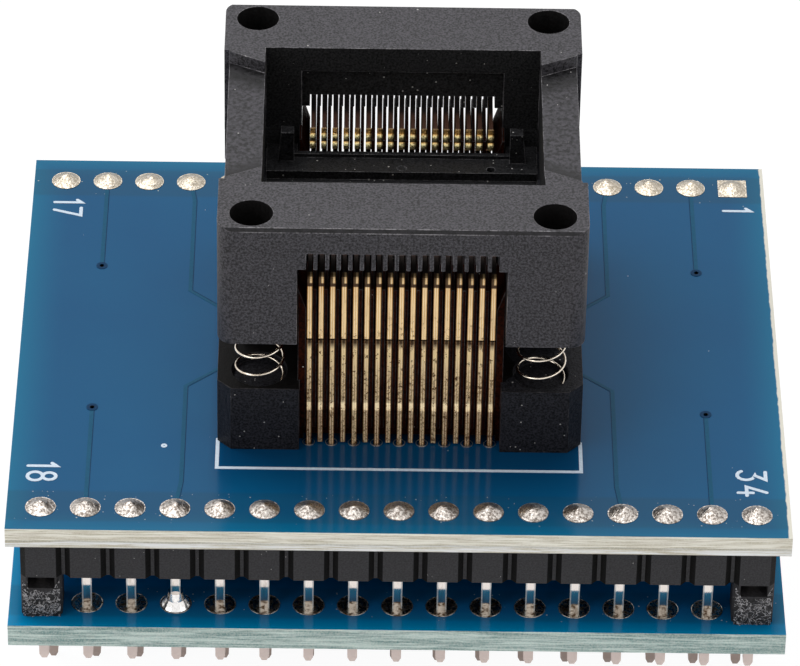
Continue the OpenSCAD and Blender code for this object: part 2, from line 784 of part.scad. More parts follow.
// Springs: a six-sided wire swept along a helix from the seat to the pocket's roof
module spring(end, side) {
    sides = 6;
    steps = 12 * spring_turns;
    coil_r = (spring_od - wire_d) / 2;
    rise = pocket_roof_z - seat_z - wire_d;
    rings = [for (i = [0:steps]) let (a = spring_start + 360 * spring_turns * i / steps)
        [for (k = [0:sides - 1]) let (b = 360 * k / sides, r = coil_r + wire_d / 2 * cos(b))
            [r * cos(a), r * sin(a), wire_d / 2 + rise * i / steps + wire_d / 2 * sin(b)]]];
    points = [for (ring = rings) each ring];
    skin = [for (i = [0:steps - 1], k = [0:sides - 1]) let (n = (k + 1) % sides, j = i * sides)
        [j + k, j + sides + k, j + sides + n, j + n]];
    ends = [[for (k = [0:sides - 1]) k], [for (k = [sides - 1:-1:0]) steps * sides + k]];
    color(spring_steel) on_upper_board() translate([end * spring_x, side * spring_y, seat_z])
        polyhedron(points, concat(skin, ends));
}

lower_board();
upper_board();
plug_header(FRONT);  // plug_header_front
plug_header(REAR);  // plug_header_rear
plug_pins(FRONT);  // plug_pins_front
plug_pins(REAR);  // plug_pins_rear
riser_header(FRONT);  // riser_header_front
riser_header(REAR);  // riser_header_rear
riser_pins(FRONT);  // riser_pins_front
riser_pins(REAR);  // riser_pins_rear
spacer(LEFT, FRONT);  // spacer_front_left
spacer(RIGHT, FRONT);  // spacer_front_right
spacer(LEFT, REAR);  // spacer_rear_left
spacer(RIGHT, REAR);  // spacer_rear_right
top_solder(FRONT);  // top_solder_front
top_solder(REAR);  // top_solder_rear
stub_solder(FRONT);  // stub_solder_front
stub_solder(REAR);  // stub_solder_rear
plug_solder(FRONT);  // plug_solder_front
plug_solder(REAR);  // plug_solder_rear
touch_up_solder();
socket_base();
chip_platform();
cover();
contact_stems(FRONT);  // contact_stems_front
contact_stems(REAR);  // contact_stems_rear
contact_levers(FRONT);  // contact_levers_front
contact_levers(REAR);  // contact_levers_rear
tail_solder(FRONT);  // tail_solder_front
tail_solder(REAR);  // tail_solder_rear
spring(LEFT, FRONT);  // spring_front_left
spring(RIGHT, FRONT);  // spring_front_right
spring(LEFT, REAR);  // spring_rear_left
spring(RIGHT, REAR);  // spring_rear_right
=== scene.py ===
"""Looks of a chip programming adapter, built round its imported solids. Lengths are in metres."""

import math
import random

import bmesh
import bpy
from mathutils import Matrix, Vector, noise


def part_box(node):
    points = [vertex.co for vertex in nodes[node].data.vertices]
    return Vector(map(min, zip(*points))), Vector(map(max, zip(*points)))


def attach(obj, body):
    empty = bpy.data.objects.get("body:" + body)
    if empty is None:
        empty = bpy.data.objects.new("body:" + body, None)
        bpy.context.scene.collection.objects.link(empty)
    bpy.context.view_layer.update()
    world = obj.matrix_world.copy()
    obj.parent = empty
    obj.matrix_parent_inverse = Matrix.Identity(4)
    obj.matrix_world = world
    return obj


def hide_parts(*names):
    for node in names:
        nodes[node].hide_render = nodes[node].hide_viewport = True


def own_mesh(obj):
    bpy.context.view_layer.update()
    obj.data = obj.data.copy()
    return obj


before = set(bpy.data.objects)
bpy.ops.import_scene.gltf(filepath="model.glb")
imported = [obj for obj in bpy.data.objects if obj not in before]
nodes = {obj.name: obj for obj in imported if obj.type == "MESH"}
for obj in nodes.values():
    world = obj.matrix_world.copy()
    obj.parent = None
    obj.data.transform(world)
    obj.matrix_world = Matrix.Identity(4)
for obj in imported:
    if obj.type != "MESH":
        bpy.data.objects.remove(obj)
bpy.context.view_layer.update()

MM = 0.001
FRONT, REAR = -1, 1
SEED = 34

# Sizes of the solids that their boxes don't give
PIN_COUNT = 17
STRIP_WIDTH = 0.3 * MM
TAIL_Y = 9.6 * MM
RAIL_WIDTH = 2.4 * MM
STEP_OUTER_Y = 6.4 * MM
STEP_SLANT = 1.2 * MM
COVER_HOLE_X = 8.5 * MM
COVER_HOLE_Y = 9.7 * MM
COVER_HOLE_RADIUS = 1.25 * MM
BAY_X = 8.05 * MM
BAY_Y = 8.4 * MM

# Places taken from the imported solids
board_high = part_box("upper_board")[1]
BOARD_TOP = board_high.z
LOWER_FOOT, LOWER_TOP = (corner.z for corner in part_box("lower_board"))
cover_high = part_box("cover")[1]
COVER_HALF, COVER_TOP = cover_high.x, cover_high.z
row_low, row_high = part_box("riser_pins_front")
PIN_WIDTH = row_high.y - row_low.y
PIN_PITCH = (row_high.x - row_low.x - PIN_WIDTH) / (PIN_COUNT - 1)
RISER_Y = -(row_low.y + row_high.y) / 2
strip_low, strip_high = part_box("contact_stems_front")
CONTACT_PITCH = (strip_high.x - strip_low.x - STRIP_WIDTH) / (PIN_COUNT - 1)

# Camera, placed from the middle of the upper board's top face
CAMERA_PLACE = Vector((-2.943, -273.567, 207.512)) * MM
CAMERA_TILT = math.radians(37.09)
CAMERA_TURN = math.radians(0.625)
CAMERA_ROLL = math.radians(1.09)
FOCAL_PIXELS = 5833
IMAGE_WIDTH = 800
SENSOR_WIDTH = 36
CLIP_NEAR, CLIP_FAR = 0.01, 10

# Light levels
WORLD_LIGHT = 0.38
FLOOR_GREY = 0.85
FLOOR_WHITE = 1.08
FLOOR_SHADOW = 0.12
FLOOR_SIZE = 3.0

# Print, pads and traces on the boards
INK_WIDTH = 0.21 * MM
INK_HEIGHT = 0.025 * MM
STROKE_STEP = 0.002 * MM
DIGIT_HEIGHT = 1.62 * MM
PAD_HEIGHT = 0.035 * MM
PAD_RADIUS = 0.87 * MM
HOLE_RADIUS = 0.5 * MM
RING_RADIUS = 0.885 * MM
TRACE_WIDTH = 0.26 * MM
TRACE_SHADE_WIDTH = 0.05 * MM
TRACE_HEIGHT = 0.012 * MM
VIA_X = 7 * PIN_PITCH
VIA_REAR_Y = 7.2 * MM
VIA_FRONT_Y = -6.6 * MM
VIA_RADIUS = 0.34 * MM
VIA_HOLE = 0.15 * MM

# Stretches of the solder mask: a rim painted paler as painted light, flux along the pin rows and painted
# shade round the socket
RIM_LIGHT_X = 2.4 * MM
RIM_LIGHT_Y = 2 * MM
BARE_RIM = 0.16 * MM
FLUX_INWARD = 1.5 * MM
FLUX_OUTWARD = 1.2 * MM
SHADE_X = 10.5 * MM
SHADE_Y = 13.25 * MM

# Painted shade in the corners of the cover's rails, and the line between the stubs and the plug pins, past
# which the plug pins are painted darker as shade
RAIL_SHADE_REACH = 1.8 * MM
STUB_LIMIT_Y = -12 * MM

# Stretches of a contact, by height above the upper board
FOOT_TOP = 2.4 * MM
BEND_HIGHLIGHT = (2.55 * MM, 2.85 * MM)
LOWER_STEM = (5.6 * MM, 4.2 * MM)
LIT_STEM = (6.0 * MM, 6.5 * MM)
KNEE_SHADE = (6.65 * MM, 7.12 * MM)
STEM_TOP = 7.35 * MM
SPOTTED = (9.5 * MM, 6.6 * MM)
CROWN = (9.6 * MM, 10.9 * MM)
CROWN_TOP = 11.25 * MM
ARM_FOOT = 10.85 * MM
FOLD_SHADOW = (11.0 * MM, 11.24 * MM)
CROOK_FOOT = 11.22 * MM
NIB = (10.35 * MM, 11.29 * MM)

# Stretches of a contact, by reach from the middle of the socket
NIB_REACH = 5.55 * MM
ARM = (5.6 * MM, 8.95 * MM)
COMB_REACH = 7.0 * MM
OUTER_REACH = 8.55 * MM


def linear(red, green, blue):
    """A display colour of 0 to 255 as the linear colour that a shader takes."""
    def channel(value):
        share = value / 255
        return share / 12.92 if share <= 0.04045 else ((share + 0.055) / 1.055) ** 2.4
    return (channel(red), channel(green), channel(blue), 1.0)


# Node trees

def add(tree, kind, inputs=None, **settings):
    """A new node with its settings made and its inputs linked or set."""
    made = tree.nodes.new(kind)
    for name, value in settings.items():
        setattr(made, name, value)
    for name, value in (inputs or {}).items():
        feed(tree, made.inputs[name], value)
    return made


def feed(tree, socket, value):
    if isinstance(value, bpy.types.NodeSocket):
        tree.links.new(value, socket)
    else:
        socket.default_value = value


def math_node(tree, operation, first, second=0.0):
    made = add(tree, "ShaderNodeMath", operation=operation)
    feed(tree, made.inputs[0], first)
    feed(tree, made.inputs[1], second)
    return made.outputs[0]


def times(tree, first, second):
    return math_node(tree, "MULTIPLY", first, second)


def larger(tree, first, second):
    return math_node(tree, "MAXIMUM", first, second)


def size_of(tree, value):
    return math_node(tree, "ABSOLUTE", value)


def mix_colour(tree, share, first, second):
    made = add(tree, "ShaderNodeMix", data_type="RGBA")
    feed(tree, made.inputs[0], share)
    feed(tree, made.inputs[6], first)
    feed(tree, made.inputs[7], second)
    return made.outputs[2]


def lay_coats(tree, base, *coats):
    """Lays colours over a base in turn, each where its mask is set and by its share."""
    for mask, share, colour in coats:
        base = mix_colour(tree, times(tree, mask, share), base, colour)
    return base


def map_range(tree, value, low, high, to_low=0.0, to_high=1.0):
    made = add(tree, "ShaderNodeMapRange", {"Value": value, "From Min": low, "From Max": high,
                                            "To Min": to_low, "To Max": to_high})
    return made.outputs[0]


def grade(tree, mask, low, high):
    """A value that runs from low to high as a mask runs from 0 to 1."""
    return map_range(tree, mask, 0.0, 1.0, low, high)


def past(tree, value, limit, soft):
    """A mask that is 1 past a limit, with a soft start."""
    return map_range(tree, value, limit - soft, limit + soft)


def short_of(tree, value, limit, soft):
    """A mask that is 1 short of a limit, with a soft end."""
    return map_range(tree, value, limit + soft, limit - soft)


def band(tree, value, low, high, soft):
    """A mask that is 1 between low and high, with soft ends."""
    return times(tree, past(tree, value, low, soft), short_of(tree, value, high, soft))


def place_in_part(tree):
    """The place on the part, in its own frame, which moves with it."""
    return add(tree, "ShaderNodeTexCoord").outputs["Object"]


def part_axes(tree):
    """The place on the part as its X, Y and Z."""
    return add(tree, "ShaderNodeSeparateXYZ", {"Vector": place_in_part(tree)}).outputs


def from_nearest(tree, value, pitch):
    """The way from the nearest member of a row that is set at a pitch about the middle."""
    turn = math_node(tree, "FLOORED_MODULO", math_node(tree, "ADD", value, pitch / 2), pitch)
    return math_node(tree, "SUBTRACT", turn, pitch / 2)


def clouds(tree, scale, place=None, detail=2.0, rough=0.5, twist=0.0):
    """Soft noise round 0.5."""
    if place is None:
        place = place_in_part(tree)
    return add(tree, "ShaderNodeTexNoise", {"Vector": place, "Scale": scale, "Detail": detail,
                                            "Roughness": rough, "Distortion": twist}).outputs[0]


def bump(tree, height, distance):
    return add(tree, "ShaderNodeBump", {"Height": height, "Distance": distance}).outputs[0]


def new_group(name, inputs, outputs):
    """An empty shader group with named float inputs and outputs; returns it, its inlet and its outlet."""
    group = bpy.data.node_groups.new(name, "ShaderNodeTree")
    for socket, value in inputs.items():
        made = group.interface.new_socket(socket, in_out="INPUT", socket_type="NodeSocketFloat")
        made.default_value = value
    for socket in outputs:
        group.interface.new_socket(socket, in_out="OUTPUT", socket_type="NodeSocketFloat")
    return group, add(group, "NodeGroupInput").outputs, add(group, "NodeGroupOutput").inputs


def make_grain_group():
    """Fine moulded grain: a mask round 0.5 and a height."""
    group, inlet, outlet = new_group("grain", {"Scale": 4000, "Contrast": 2}, ["Mask", "Height"])
    speck = clouds(group, inlet["Scale"], detail=3.0, rough=0.65)
    spread = times(group, math_node(group, "SUBTRACT", speck, 0.5), inlet["Contrast"])
    mask = add(group, "ShaderNodeClamp", {"Value": math_node(group, "ADD", spread, 0.5)}).outputs[0]
    group.links.new(mask, outlet["Mask"])
    group.links.new(speck, outlet["Height"])
    return group


def make_dust_group():
    """Scattered specks of dust of many sizes; Cover is the share of cells that hold one."""
    group, inlet, outlet = new_group("dust", {"Scale": 1500, "Cover": 0.1, "Size": 0.2}, ["Mask"])
    cells = add(group, "ShaderNodeTexVoronoi", {"Vector": place_in_part(group), "Scale": inlet["Scale"]})
    pick = add(group, "ShaderNodeSeparateColor", {"Color": cells.outputs["Color"]}).outputs
    held = math_node(group, "LESS_THAN", pick[0], inlet["Cover"])
    reach = times(group, inlet["Size"], math_node(group, "ADD", pick[1], 0.3))
    close = math_node(group, "LESS_THAN", cells.outputs["Distance"], reach)
    group.links.new(times(group, held, close), outlet["Mask"])
    return group


def make_stain_group():
    """Blotches and streaks: Stretch draws them out along the height."""
    group, inlet, outlet = new_group("stain", {"Scale": 800, "Stretch": 1, "Low": 0.45, "High": 0.65},
                                     ["Mask"])
    squeeze = add(group, "ShaderNodeCombineXYZ", {"X": 1.0, "Y": 1.0,
                                                  "Z": math_node(group, "DIVIDE", 1.0, inlet["Stretch"])})
    spot = add(group, "ShaderNodeVectorMath", {0: place_in_part(group), 1: squeeze.outputs[0]},
               operation="MULTIPLY").outputs[0]
    blotch = clouds(group, inlet["Scale"], spot, detail=5.0, rough=0.6)
    group.links.new(map_range(group, blotch, inlet["Low"], inlet["High"]), outlet["Mask"])
    return group


GRAIN = make_grain_group()
DUST = make_dust_group()
STAIN = make_stain_group()


def use(tree, group, **values):
    """Places a shared group in a material with its own values."""
    made = add(tree, "ShaderNodeGroup", node_tree=group)
    for name, value in values.items():
        feed(tree, made.inputs[name], value)
    return made.outputs


def new_material(name, **constants):
    """A material with its Principled shader; constants go straight on the shader's own sockets."""
    made = bpy.data.materials.new(name)
    made.use_nodes = True
    shader = made.node_tree.nodes["Principled BSDF"]
    for socket, value in constants.items():
        shader.inputs[socket.replace("_", " ")].default_value = value
    return made, made.node_tree, shader.inputs


# Finishes

def solder_mask(name, middle, rim, shine, bare_edge):
    """Glossy solder mask: paler towards the rim as painted light, with flux and crumbs along the pin rows,
    some dust and a painted shade round the socket.
    """
    made, tree, shader = new_material(name, Specular_IOR_Level=shine)
    axes = part_axes(tree)
    across, along = size_of(tree, axes["X"]), size_of(tree, axes["Y"])
    # Painted light: the mask is painted paler towards the rim.
    rim_x = map_range(tree, across, board_high.x - RIM_LIGHT_X, board_high.x)
    rim_y = map_range(tree, along, board_high.y - RIM_LIGHT_Y, board_high.y)
    rim_light = math_node(tree, "POWER", larger(tree, rim_x, rim_y), 1.5)
    blotch = use(tree, STAIN, Scale=120.0, Low=0.3, High=0.7)["Mask"]
    flux = band(tree, along, RISER_Y - FLUX_INWARD, RISER_Y + FLUX_OUTWARD, 0.12 * MM)
    crumbs = use(tree, DUST, Scale=3400.0, Cover=0.3, Size=0.14)["Mask"]
    dust = use(tree, DUST, Scale=1100.0, Cover=0.1, Size=0.055)["Mask"]
    # Painted shade: the mask is painted darker round the socket.
    shade = times(tree, short_of(tree, across, SHADE_X, 0.5 * MM),
                  short_of(tree, along, SHADE_Y, 1.75 * MM))
    base = lay_coats(tree, middle,
                     (rim_light, 1.0, rim),
                     (blotch, 0.14, rim),
                     (flux, 0.25, linear(34, 66, 78)),
                     (times(tree, crumbs, flux), 0.6, linear(196, 198, 190)),
                     (dust, 0.6, linear(190, 200, 205)),
                     (shade, 0.5, linear(2, 36, 74)))
    if bare_edge:
        ragged = math_node(tree, "ADD", axes["X"], times(tree, clouds(tree, 1600.0), BARE_RIM))
        bare = map_range(tree, ragged, board_high.x - BARE_RIM, board_high.x - 0.1 * MM)
        base = lay_coats(tree, base, (bare, 0.9, linear(232, 227, 212)))
    tree.links.new(base, shader["Base Color"])
    tree.links.new(grade(tree, blotch, 0.09, 0.16), shader["Roughness"])
    tree.links.new(bump(tree, clouds(tree, 900.0), 0.003 * MM), shader["Normal"])
    return made


def fibre_edge(name, node, upper, lower, dull, split):
    """Sawn glass-fibre edge: layers of cloth in two tones, which part at a share of the height."""
    made, tree, shader = new_material(name, Roughness=0.75, Specular_IOR_Level=0.2)
    low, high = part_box(node)
    layered = add(tree, "ShaderNodeVectorMath", {0: place_in_part(tree), 1: (0.035, 0.035, 1.0)},
                  operation="MULTIPLY").outputs[0]
    layers = clouds(tree, 7000.0, layered, detail=4.0, rough=0.7, twist=0.5)
    sway = grade(tree, clouds(tree, 450.0), -0.07, 0.07)
    height = math_node(tree, "ADD", map_range(tree, part_axes(tree)["Z"], low.z, high.z), sway)
    tone = mix_colour(tree, past(tree, height, split, 0.06), lower, upper)
    parting = band(tree, height, split - 0.03, split + 0.03, 0.05)
    fray = use(tree, GRAIN, Scale=9000.0, Contrast=4.0)["Mask"]
    base = lay_coats(tree, dull,
                     (map_range(tree, layers, 0.41, 0.57), 1.0, tone),
                     (parting, 0.55, linear(96, 92, 78)),
                     (fray, 0.3, linear(252, 250, 242)))
    tree.links.new(base, shader["Base Color"])
    tree.links.new(bump(tree, layers, 0.04 * MM), shader["Normal"])
    return made


def moulded_plastic(name, dark, light, grain_scale, rough, dust_cover, shine=0.25, wear_and_sheen=0.0, painted_shade=None):
    """Moulded plastic with a speckled grain and a little dust, rubbed paler in patches as wear and painted
    sheen, and darkened where a painted shade is given.
    """
    made, tree, shader = new_material(name, Specular_IOR_Level=shine)
    grain = use(tree, GRAIN, Scale=grain_scale, Contrast=4.0)
    blotch = use(tree, STAIN, Scale=260.0, Low=0.3, High=0.75)["Mask"]
    dust = use(tree, DUST, Scale=3600.0, Cover=dust_cover, Size=0.15)["Mask"]
    coats = [(grain["Mask"], 1.0, light), (blotch, 0.12, light)]
    if painted_shade:
        # Painted shade: darker where the given mask is set.
        coats.append((painted_shade(tree), 0.75, dark))
    # Paler patches of wear, which on rounded edges also paint a sheen.
    if wear_and_sheen:
        patch = use(tree, STAIN, Scale=900.0, Low=0.42, High=0.6)["Mask"]
        patch = times(tree, patch, map_range(tree, grain["Mask"], 0.0, 0.6, 0.35, 1.0))
        coats.append((patch, wear_and_sheen, linear(172, 169, 172)))
    coats.append((dust, 0.6, linear(215, 212, 208)))
    tree.links.new(lay_coats(tree, dark, *coats), shader["Base Color"])
    tree.links.new(grade(tree, grain["Mask"], rough - 0.08, rough + 0.08), shader["Roughness"])
    tree.links.new(bump(tree, grain["Height"], 0.03 * MM), shader["Normal"])
    return made


def rail_corner_shade(tree):
    """A mask of painted shade in the corners where the cover's rails meet the slanting steps at their ends.
    """
    axes = part_axes(tree)
    across, along = size_of(tree, axes["X"]), size_of(tree, axes["Y"])
    step = map_range(tree, across, COVER_HALF - RAIL_WIDTH, COVER_HALF,
                     STEP_OUTER_Y - STEP_SLANT, STEP_OUTER_Y)
    return short_of(tree, math_node(tree, "SUBTRACT", step, along), RAIL_SHADE_REACH, 0.5 * MM)


def torn_plastic(name, dark, middle, pale):
    """Broken plastic: dark hollows crossed by pale ragged threads."""
    made, tree, shader = new_material(name, Specular_IOR_Level=0.3)
    fibre = clouds(tree, 2200.0, detail=4.0, rough=0.6, twist=1.4)
    off_crest = size_of(tree, math_node(tree, "SUBTRACT", fibre, 0.5))
    hollow = use(tree, STAIN, Scale=1300.0, Low=0.42, High=0.58)["Mask"]
    grain = use(tree, GRAIN, Scale=7000.0, Contrast=5.0)["Mask"]
    base = lay_coats(tree, dark,
                     (grain, 1.0, middle),
                     (hollow, 0.8, dark),
                     (map_range(tree, off_crest, 0.035, 0.0), 0.85, pale))
    tree.links.new(base, shader["Base Color"])
    tree.links.new(grade(tree, grain, 0.5, 0.7), shader["Roughness"])
    tree.links.new(bump(tree, fibre, 0.06 * MM), shader["Normal"])
    return made


def plated_metal(name, colour, tarnish, rough, scale, low, high):
    """Plated metal with spots of tarnish, which begin at low in a noise and are full at high."""
    made, tree, shader = new_material(name, Metallic=1.0)
    stain = use(tree, STAIN, Scale=scale, Low=low, High=high)["Mask"]
    specks = use(tree, GRAIN, Scale=7000.0, Contrast=4.0)
    base = lay_coats(tree, colour, (stain, 1.0, tarnish), (specks["Mask"], 0.2, tarnish))
    tree.links.new(base, shader["Base Color"])
    tree.links.new(grade(tree, stain, rough, rough + 0.25), shader["Roughness"])
    tree.links.new(bump(tree, specks["Height"], 0.004 * MM), shader["Normal"])
    return made


def grainy_solder(name, pale, dark):
    """Solder that set slowly, so that its skin is frosted with fine crystals; warmer in the rear row."""
    made, tree, shader = new_material(name, Metallic=1.0)
    crystals = use(tree, GRAIN, Scale=6600.0, Contrast=4.5)
    rear = past(tree, part_axes(tree)["Y"], 0.0, MM)
    base = lay_coats(tree, dark, (crystals["Mask"], 1.0, pale), (rear, 0.4, linear(206, 194, 168)))
    tree.links.new(base, shader["Base Color"])
    tree.links.new(grade(tree, crystals["Mask"], 0.42, 0.26), shader["Roughness"])
    tree.links.new(bump(tree, crystals["Height"], 0.05 * MM), shader["Normal"])
    return made


def pin_tin(name):
    """Tin plate: bright between the boards and dull on the stubs and plug pins below them, with the plug
    pins behind the stubs painted darker as shade.
    """
    made, tree, shader = new_material(name)
    axes = part_axes(tree)
    below = short_of(tree, axes["Z"], LOWER_FOOT, 0.1 * MM)
    # Painted shade: the plug pins behind the stubs are darker.
    inner = past(tree, axes["Y"], STUB_LIMIT_Y, MM)
    dull = mix_colour(tree, inner, linear(226, 208, 200), linear(178, 158, 148))
    stain = use(tree, STAIN, Scale=1500.0, Stretch=3.0, Low=0.5, High=0.75)["Mask"]
    off_centre = size_of(tree, from_nearest(tree, axes["X"], PIN_PITCH))
    side = map_range(tree, off_centre, PIN_WIDTH / 2 - 0.1 * MM, PIN_WIDTH / 2 - 0.05 * MM)
    base = lay_coats(tree, linear(226, 218, 212),
                     (stain, 1.0, linear(170, 158, 148)),
                     (side, 0.8, linear(196, 200, 200)),
                     (below, 1.0, dull))
    tree.links.new(base, shader["Base Color"])
    matt = larger(tree, below, times(tree, side, 0.9))
    tree.links.new(grade(tree, matt, 1.0, 0.3), shader["Metallic"])
    tree.links.new(grade(tree, below, 0.08, 0.5), shader["Roughness"])
    return made


def gold_strip(name):
    """Gold-plated contact: uprights painted pale and bright nibs, both partly painted light; knees and
    folds painted brown as shade, with more painted shade on the rims, crooks and arms; speckled feet.
    """
    made, tree, shader = new_material(name, Specular_IOR_Level=0.2)
    axes = part_axes(tree)
    height = math_node(tree, "SUBTRACT", axes["Z"], BOARD_TOP)
    reach = size_of(tree, axes["Y"])
    sideways = from_nearest(tree, axes["X"], CONTACT_PITCH)
    off_centre = size_of(tree, sideways)

    def both(first, second):
        return times(tree, first, second)

    # Stretches of the strip
    # The uprights are painted paler as painted light, and brighter still on the lit stretch below the knee,
    # a painted highlight.
    stem = short_of(tree, height, STEM_TOP, 0.05 * MM)
    # Painted shade under the kink at the knee.
    knee_shade = both(stem, map_range(tree, height, *KNEE_SHADE))
    lit = band(tree, height, *LIT_STEM, 0.35 * MM)
    lower = map_range(tree, height, *LOWER_STEM)
    # Painted highlight on the bend above the foot.
    bend_highlight = band(tree, height, *BEND_HIGHLIGHT, 0.22 * MM)
    foot = short_of(tree, height, FOOT_TOP, 0.1 * MM)
    crown = both(map_range(tree, height, *CROWN), short_of(tree, height, CROWN_TOP, 0.05 * MM))
    # Painted shadow in a band at the fold, and painted shade on the crook above it and on the arms, darkest
    # where they lie under the cover.
    fold_shadow = band(tree, height, *FOLD_SHADOW, 0.03 * MM)
    outer = past(tree, reach, OUTER_REACH, 0.05 * MM)
    crook_shade = both(past(tree, height, CROOK_FOOT, 0.02 * MM), outer)
    arm = both(band(tree, reach, *ARM, 0.06 * MM), past(tree, height, ARM_FOOT, 0.05 * MM))
    covered_shade = both(arm, past(tree, reach, COMB_REACH, 0.2 * MM))
    nib = short_of(tree, reach, NIB_REACH, 0.05 * MM)
    # Painted highlights on the nib's two lobes, which the bump rounds too.
    nib_turn = map_range(tree, height, *NIB, 0.0, 2 * math.pi)
    lobe_highlight = both(size_of(tree, math_node(tree, "SINE", nib_turn)), nib)

    # Lines along the strip
    core = map_range(tree, off_centre, 0.05 * MM, 0.02 * MM)
    # A painted highlight line down each strip, with painted shade beside it where the strip is creased.
    gleam = band(tree, off_centre, 0.04 * MM, 0.075 * MM, 0.015 * MM)
    crease_shade = band(tree, sideways, -0.03 * MM, 0.0, 0.015 * MM)
    # Painted shade along the strips' edges, drawn in further on the uprights.
    drawn_in = math_node(tree, "ADD", off_centre, times(tree, stem, 0.012 * MM))
    rim = both(map_range(tree, drawn_in, 0.1 * MM, 0.145 * MM), outer)
    left = short_of(tree, sideways, 0.0, 0.02 * MM)
    right = map_range(tree, sideways, 0.06 * MM, 0.11 * MM)
    knee_shade_tone = both(knee_shade, map_range(tree, off_centre, 0.15 * MM, 0.05 * MM, 0.6, 1.0))

    # Tarnish, spots and pits
    tone = use(tree, STAIN, Scale=1300.0, Stretch=30.0, Low=0.42, High=0.58)["Mask"]
    streak = use(tree, STAIN, Scale=1900.0, Stretch=4.0, Low=0.46, High=0.7)["Mask"]
    spots = use(tree, STAIN, Scale=5200.0, Stretch=1.4, Low=0.58, High=0.64)["Mask"]
    spots = both(spots, map_range(tree, height, *SPOTTED, 0.15, 1.0))
    pits = both(use(tree, STAIN, Scale=11000.0, Stretch=1.3, Low=0.5, High=0.6)["Mask"], lower)
    nib_pits = both(use(tree, STAIN, Scale=8000.0, Low=0.5, High=0.58)["Mask"], nib)

    base = lay_coats(tree, linear(246, 206, 142),
                     (streak, 0.35, linear(190, 134, 70)),
                     (stem, 0.7, linear(255, 228, 174)),
                     (both(crown, tone), 0.75, linear(206, 150, 72)),
                     (crease_shade, 0.4, linear(166, 124, 76)),
                     (both(lower, core), 0.5, linear(156, 108, 60)),
                     (both(foot, tone), 0.5, linear(146, 86, 56)),
                     (gleam, 0.9, linear(255, 236, 204)),
                     (both(lit, stem), 0.8, linear(255, 228, 172)),
                     (both(pits, grade(tree, bend_highlight, 1.0, 0.5)), 0.6, linear(104, 62, 26)),
                     (bend_highlight, 0.9, linear(255, 240, 202)),
                     (spots, 0.85, linear(84, 46, 16)),
                     (knee_shade_tone, 0.95, linear(50, 26, 11)),
                     (rim, 0.95, linear(98, 54, 22)),
                     (nib, 0.8, linear(196, 144, 62)),
                     (lobe_highlight, 0.9, linear(255, 244, 184)),
                     (nib_pits, 0.75, linear(64, 36, 16)),
                     # Painted shade on the nib's right side.
                     (both(nib, right), 0.85, linear(34, 20, 8)),
                     (crook_shade, 0.3, linear(160, 126, 84)),
                     (both(crook_shade, left), 0.9, linear(44, 27, 18)),
                     (both(fold_shadow, outer), 0.95, linear(44, 22, 12)),
                     (arm, 0.97, linear(74, 45, 39)),
                     (covered_shade, 0.9, linear(22, 21, 21)))
    tree.links.new(base, shader["Base Color"])
    bright = larger(tree, times(tree, bend_highlight, 0.75), times(tree, nib, 0.9))
    tree.links.new(larger(tree, grade(tree, stem, 0.6, 0.75), bright), shader["Metallic"])
    brushed = larger(tree, times(tree, arm, 0.8), times(tree, stem, 0.62))
    tree.links.new(larger(tree, grade(tree, streak, 0.28, 0.5), brushed), shader["Roughness"])
    relief = math_node(tree, "ADD", times(tree, lobe_highlight, 0.08), times(tree, spots, 0.004))
    tree.links.new(bump(tree, relief, MM), shader["Normal"])
    return made


def plain_print(name, colour, rough, shine=0.3):
    """Ink or masked copper: one colour with a faint grain."""
    made, tree, shader = new_material(name, Specular_IOR_Level=shine)
    grain = use(tree, GRAIN, Scale=6000.0, Contrast=2.0)
    darker = tuple(channel * 0.82 for channel in colour[:3]) + (1.0,)
    tree.links.new(mix_colour(tree, grain["Mask"], darker, colour), shader["Base Color"])
    tree.links.new(grade(tree, grain["Mask"], rough, rough + 0.15), shader["Roughness"])
    return made


# Each mask's second colour is its rim, painted paler as painted light.
UPPER_MASK = solder_mask("upper_solder_mask", linear(8, 79, 122), linear(14, 104, 140),
                         shine=0.19, bare_edge=True)
LOWER_MASK = solder_mask("lower_solder_mask", linear(0, 84, 144), linear(0, 140, 190),
                         shine=0.15, bare_edge=False)
TRACE_MASK = plain_print("masked_copper", linear(6, 82, 114), rough=0.1, shine=0.15)
# A dark line of painted shade along each track's inner side; the via rings take the same colour as their
# own.
TRACE_SHADE_AND_VIA_RING = plain_print("trace_shade_and_via_ring", linear(2, 54, 90), rough=0.1, shine=0.1)
UPPER_EDGE = fibre_edge("upper_board_edge", "upper_board", upper=linear(255, 252, 238),
                        lower=linear(250, 252, 252), dull=linear(204, 196, 174), split=0.34)
LOWER_EDGE = fibre_edge("lower_board_edge", "lower_board", upper=linear(204, 224, 218),
                        lower=linear(204, 224, 218), dull=linear(116, 150, 148), split=-1.0)
HEADER_PLASTIC = moulded_plastic("header_plastic", linear(30, 29, 31), linear(54, 53, 56),
                                 grain_scale=9000.0, rough=0.5, dust_cover=0.06)
# Painted shade: a near-black plastic for the headers' slanted faces, the cover's blind holes and the base's
# faces by the spring seats.
SHADED_PLASTIC = moulded_plastic("shaded_plastic", linear(6, 5, 5), linear(17, 16, 16),
                                 grain_scale=6000.0, rough=0.6, dust_cover=0.02, shine=0.1)
CUT_PLASTIC = moulded_plastic("cut_spacer_plastic", linear(24, 23, 25), linear(50, 48, 50),
                              grain_scale=7000.0, rough=0.6, dust_cover=0.1)
TORN_PLASTIC = torn_plastic("torn_plastic", dark=linear(4, 4, 5), middle=linear(56, 55, 58),
                            pale=linear(206, 204, 207))
BASE_PLASTIC = moulded_plastic("base_plastic", linear(6, 6, 8), linear(46, 46, 51),
                               grain_scale=8000.0, rough=0.44, dust_cover=0.13, shine=0.12)
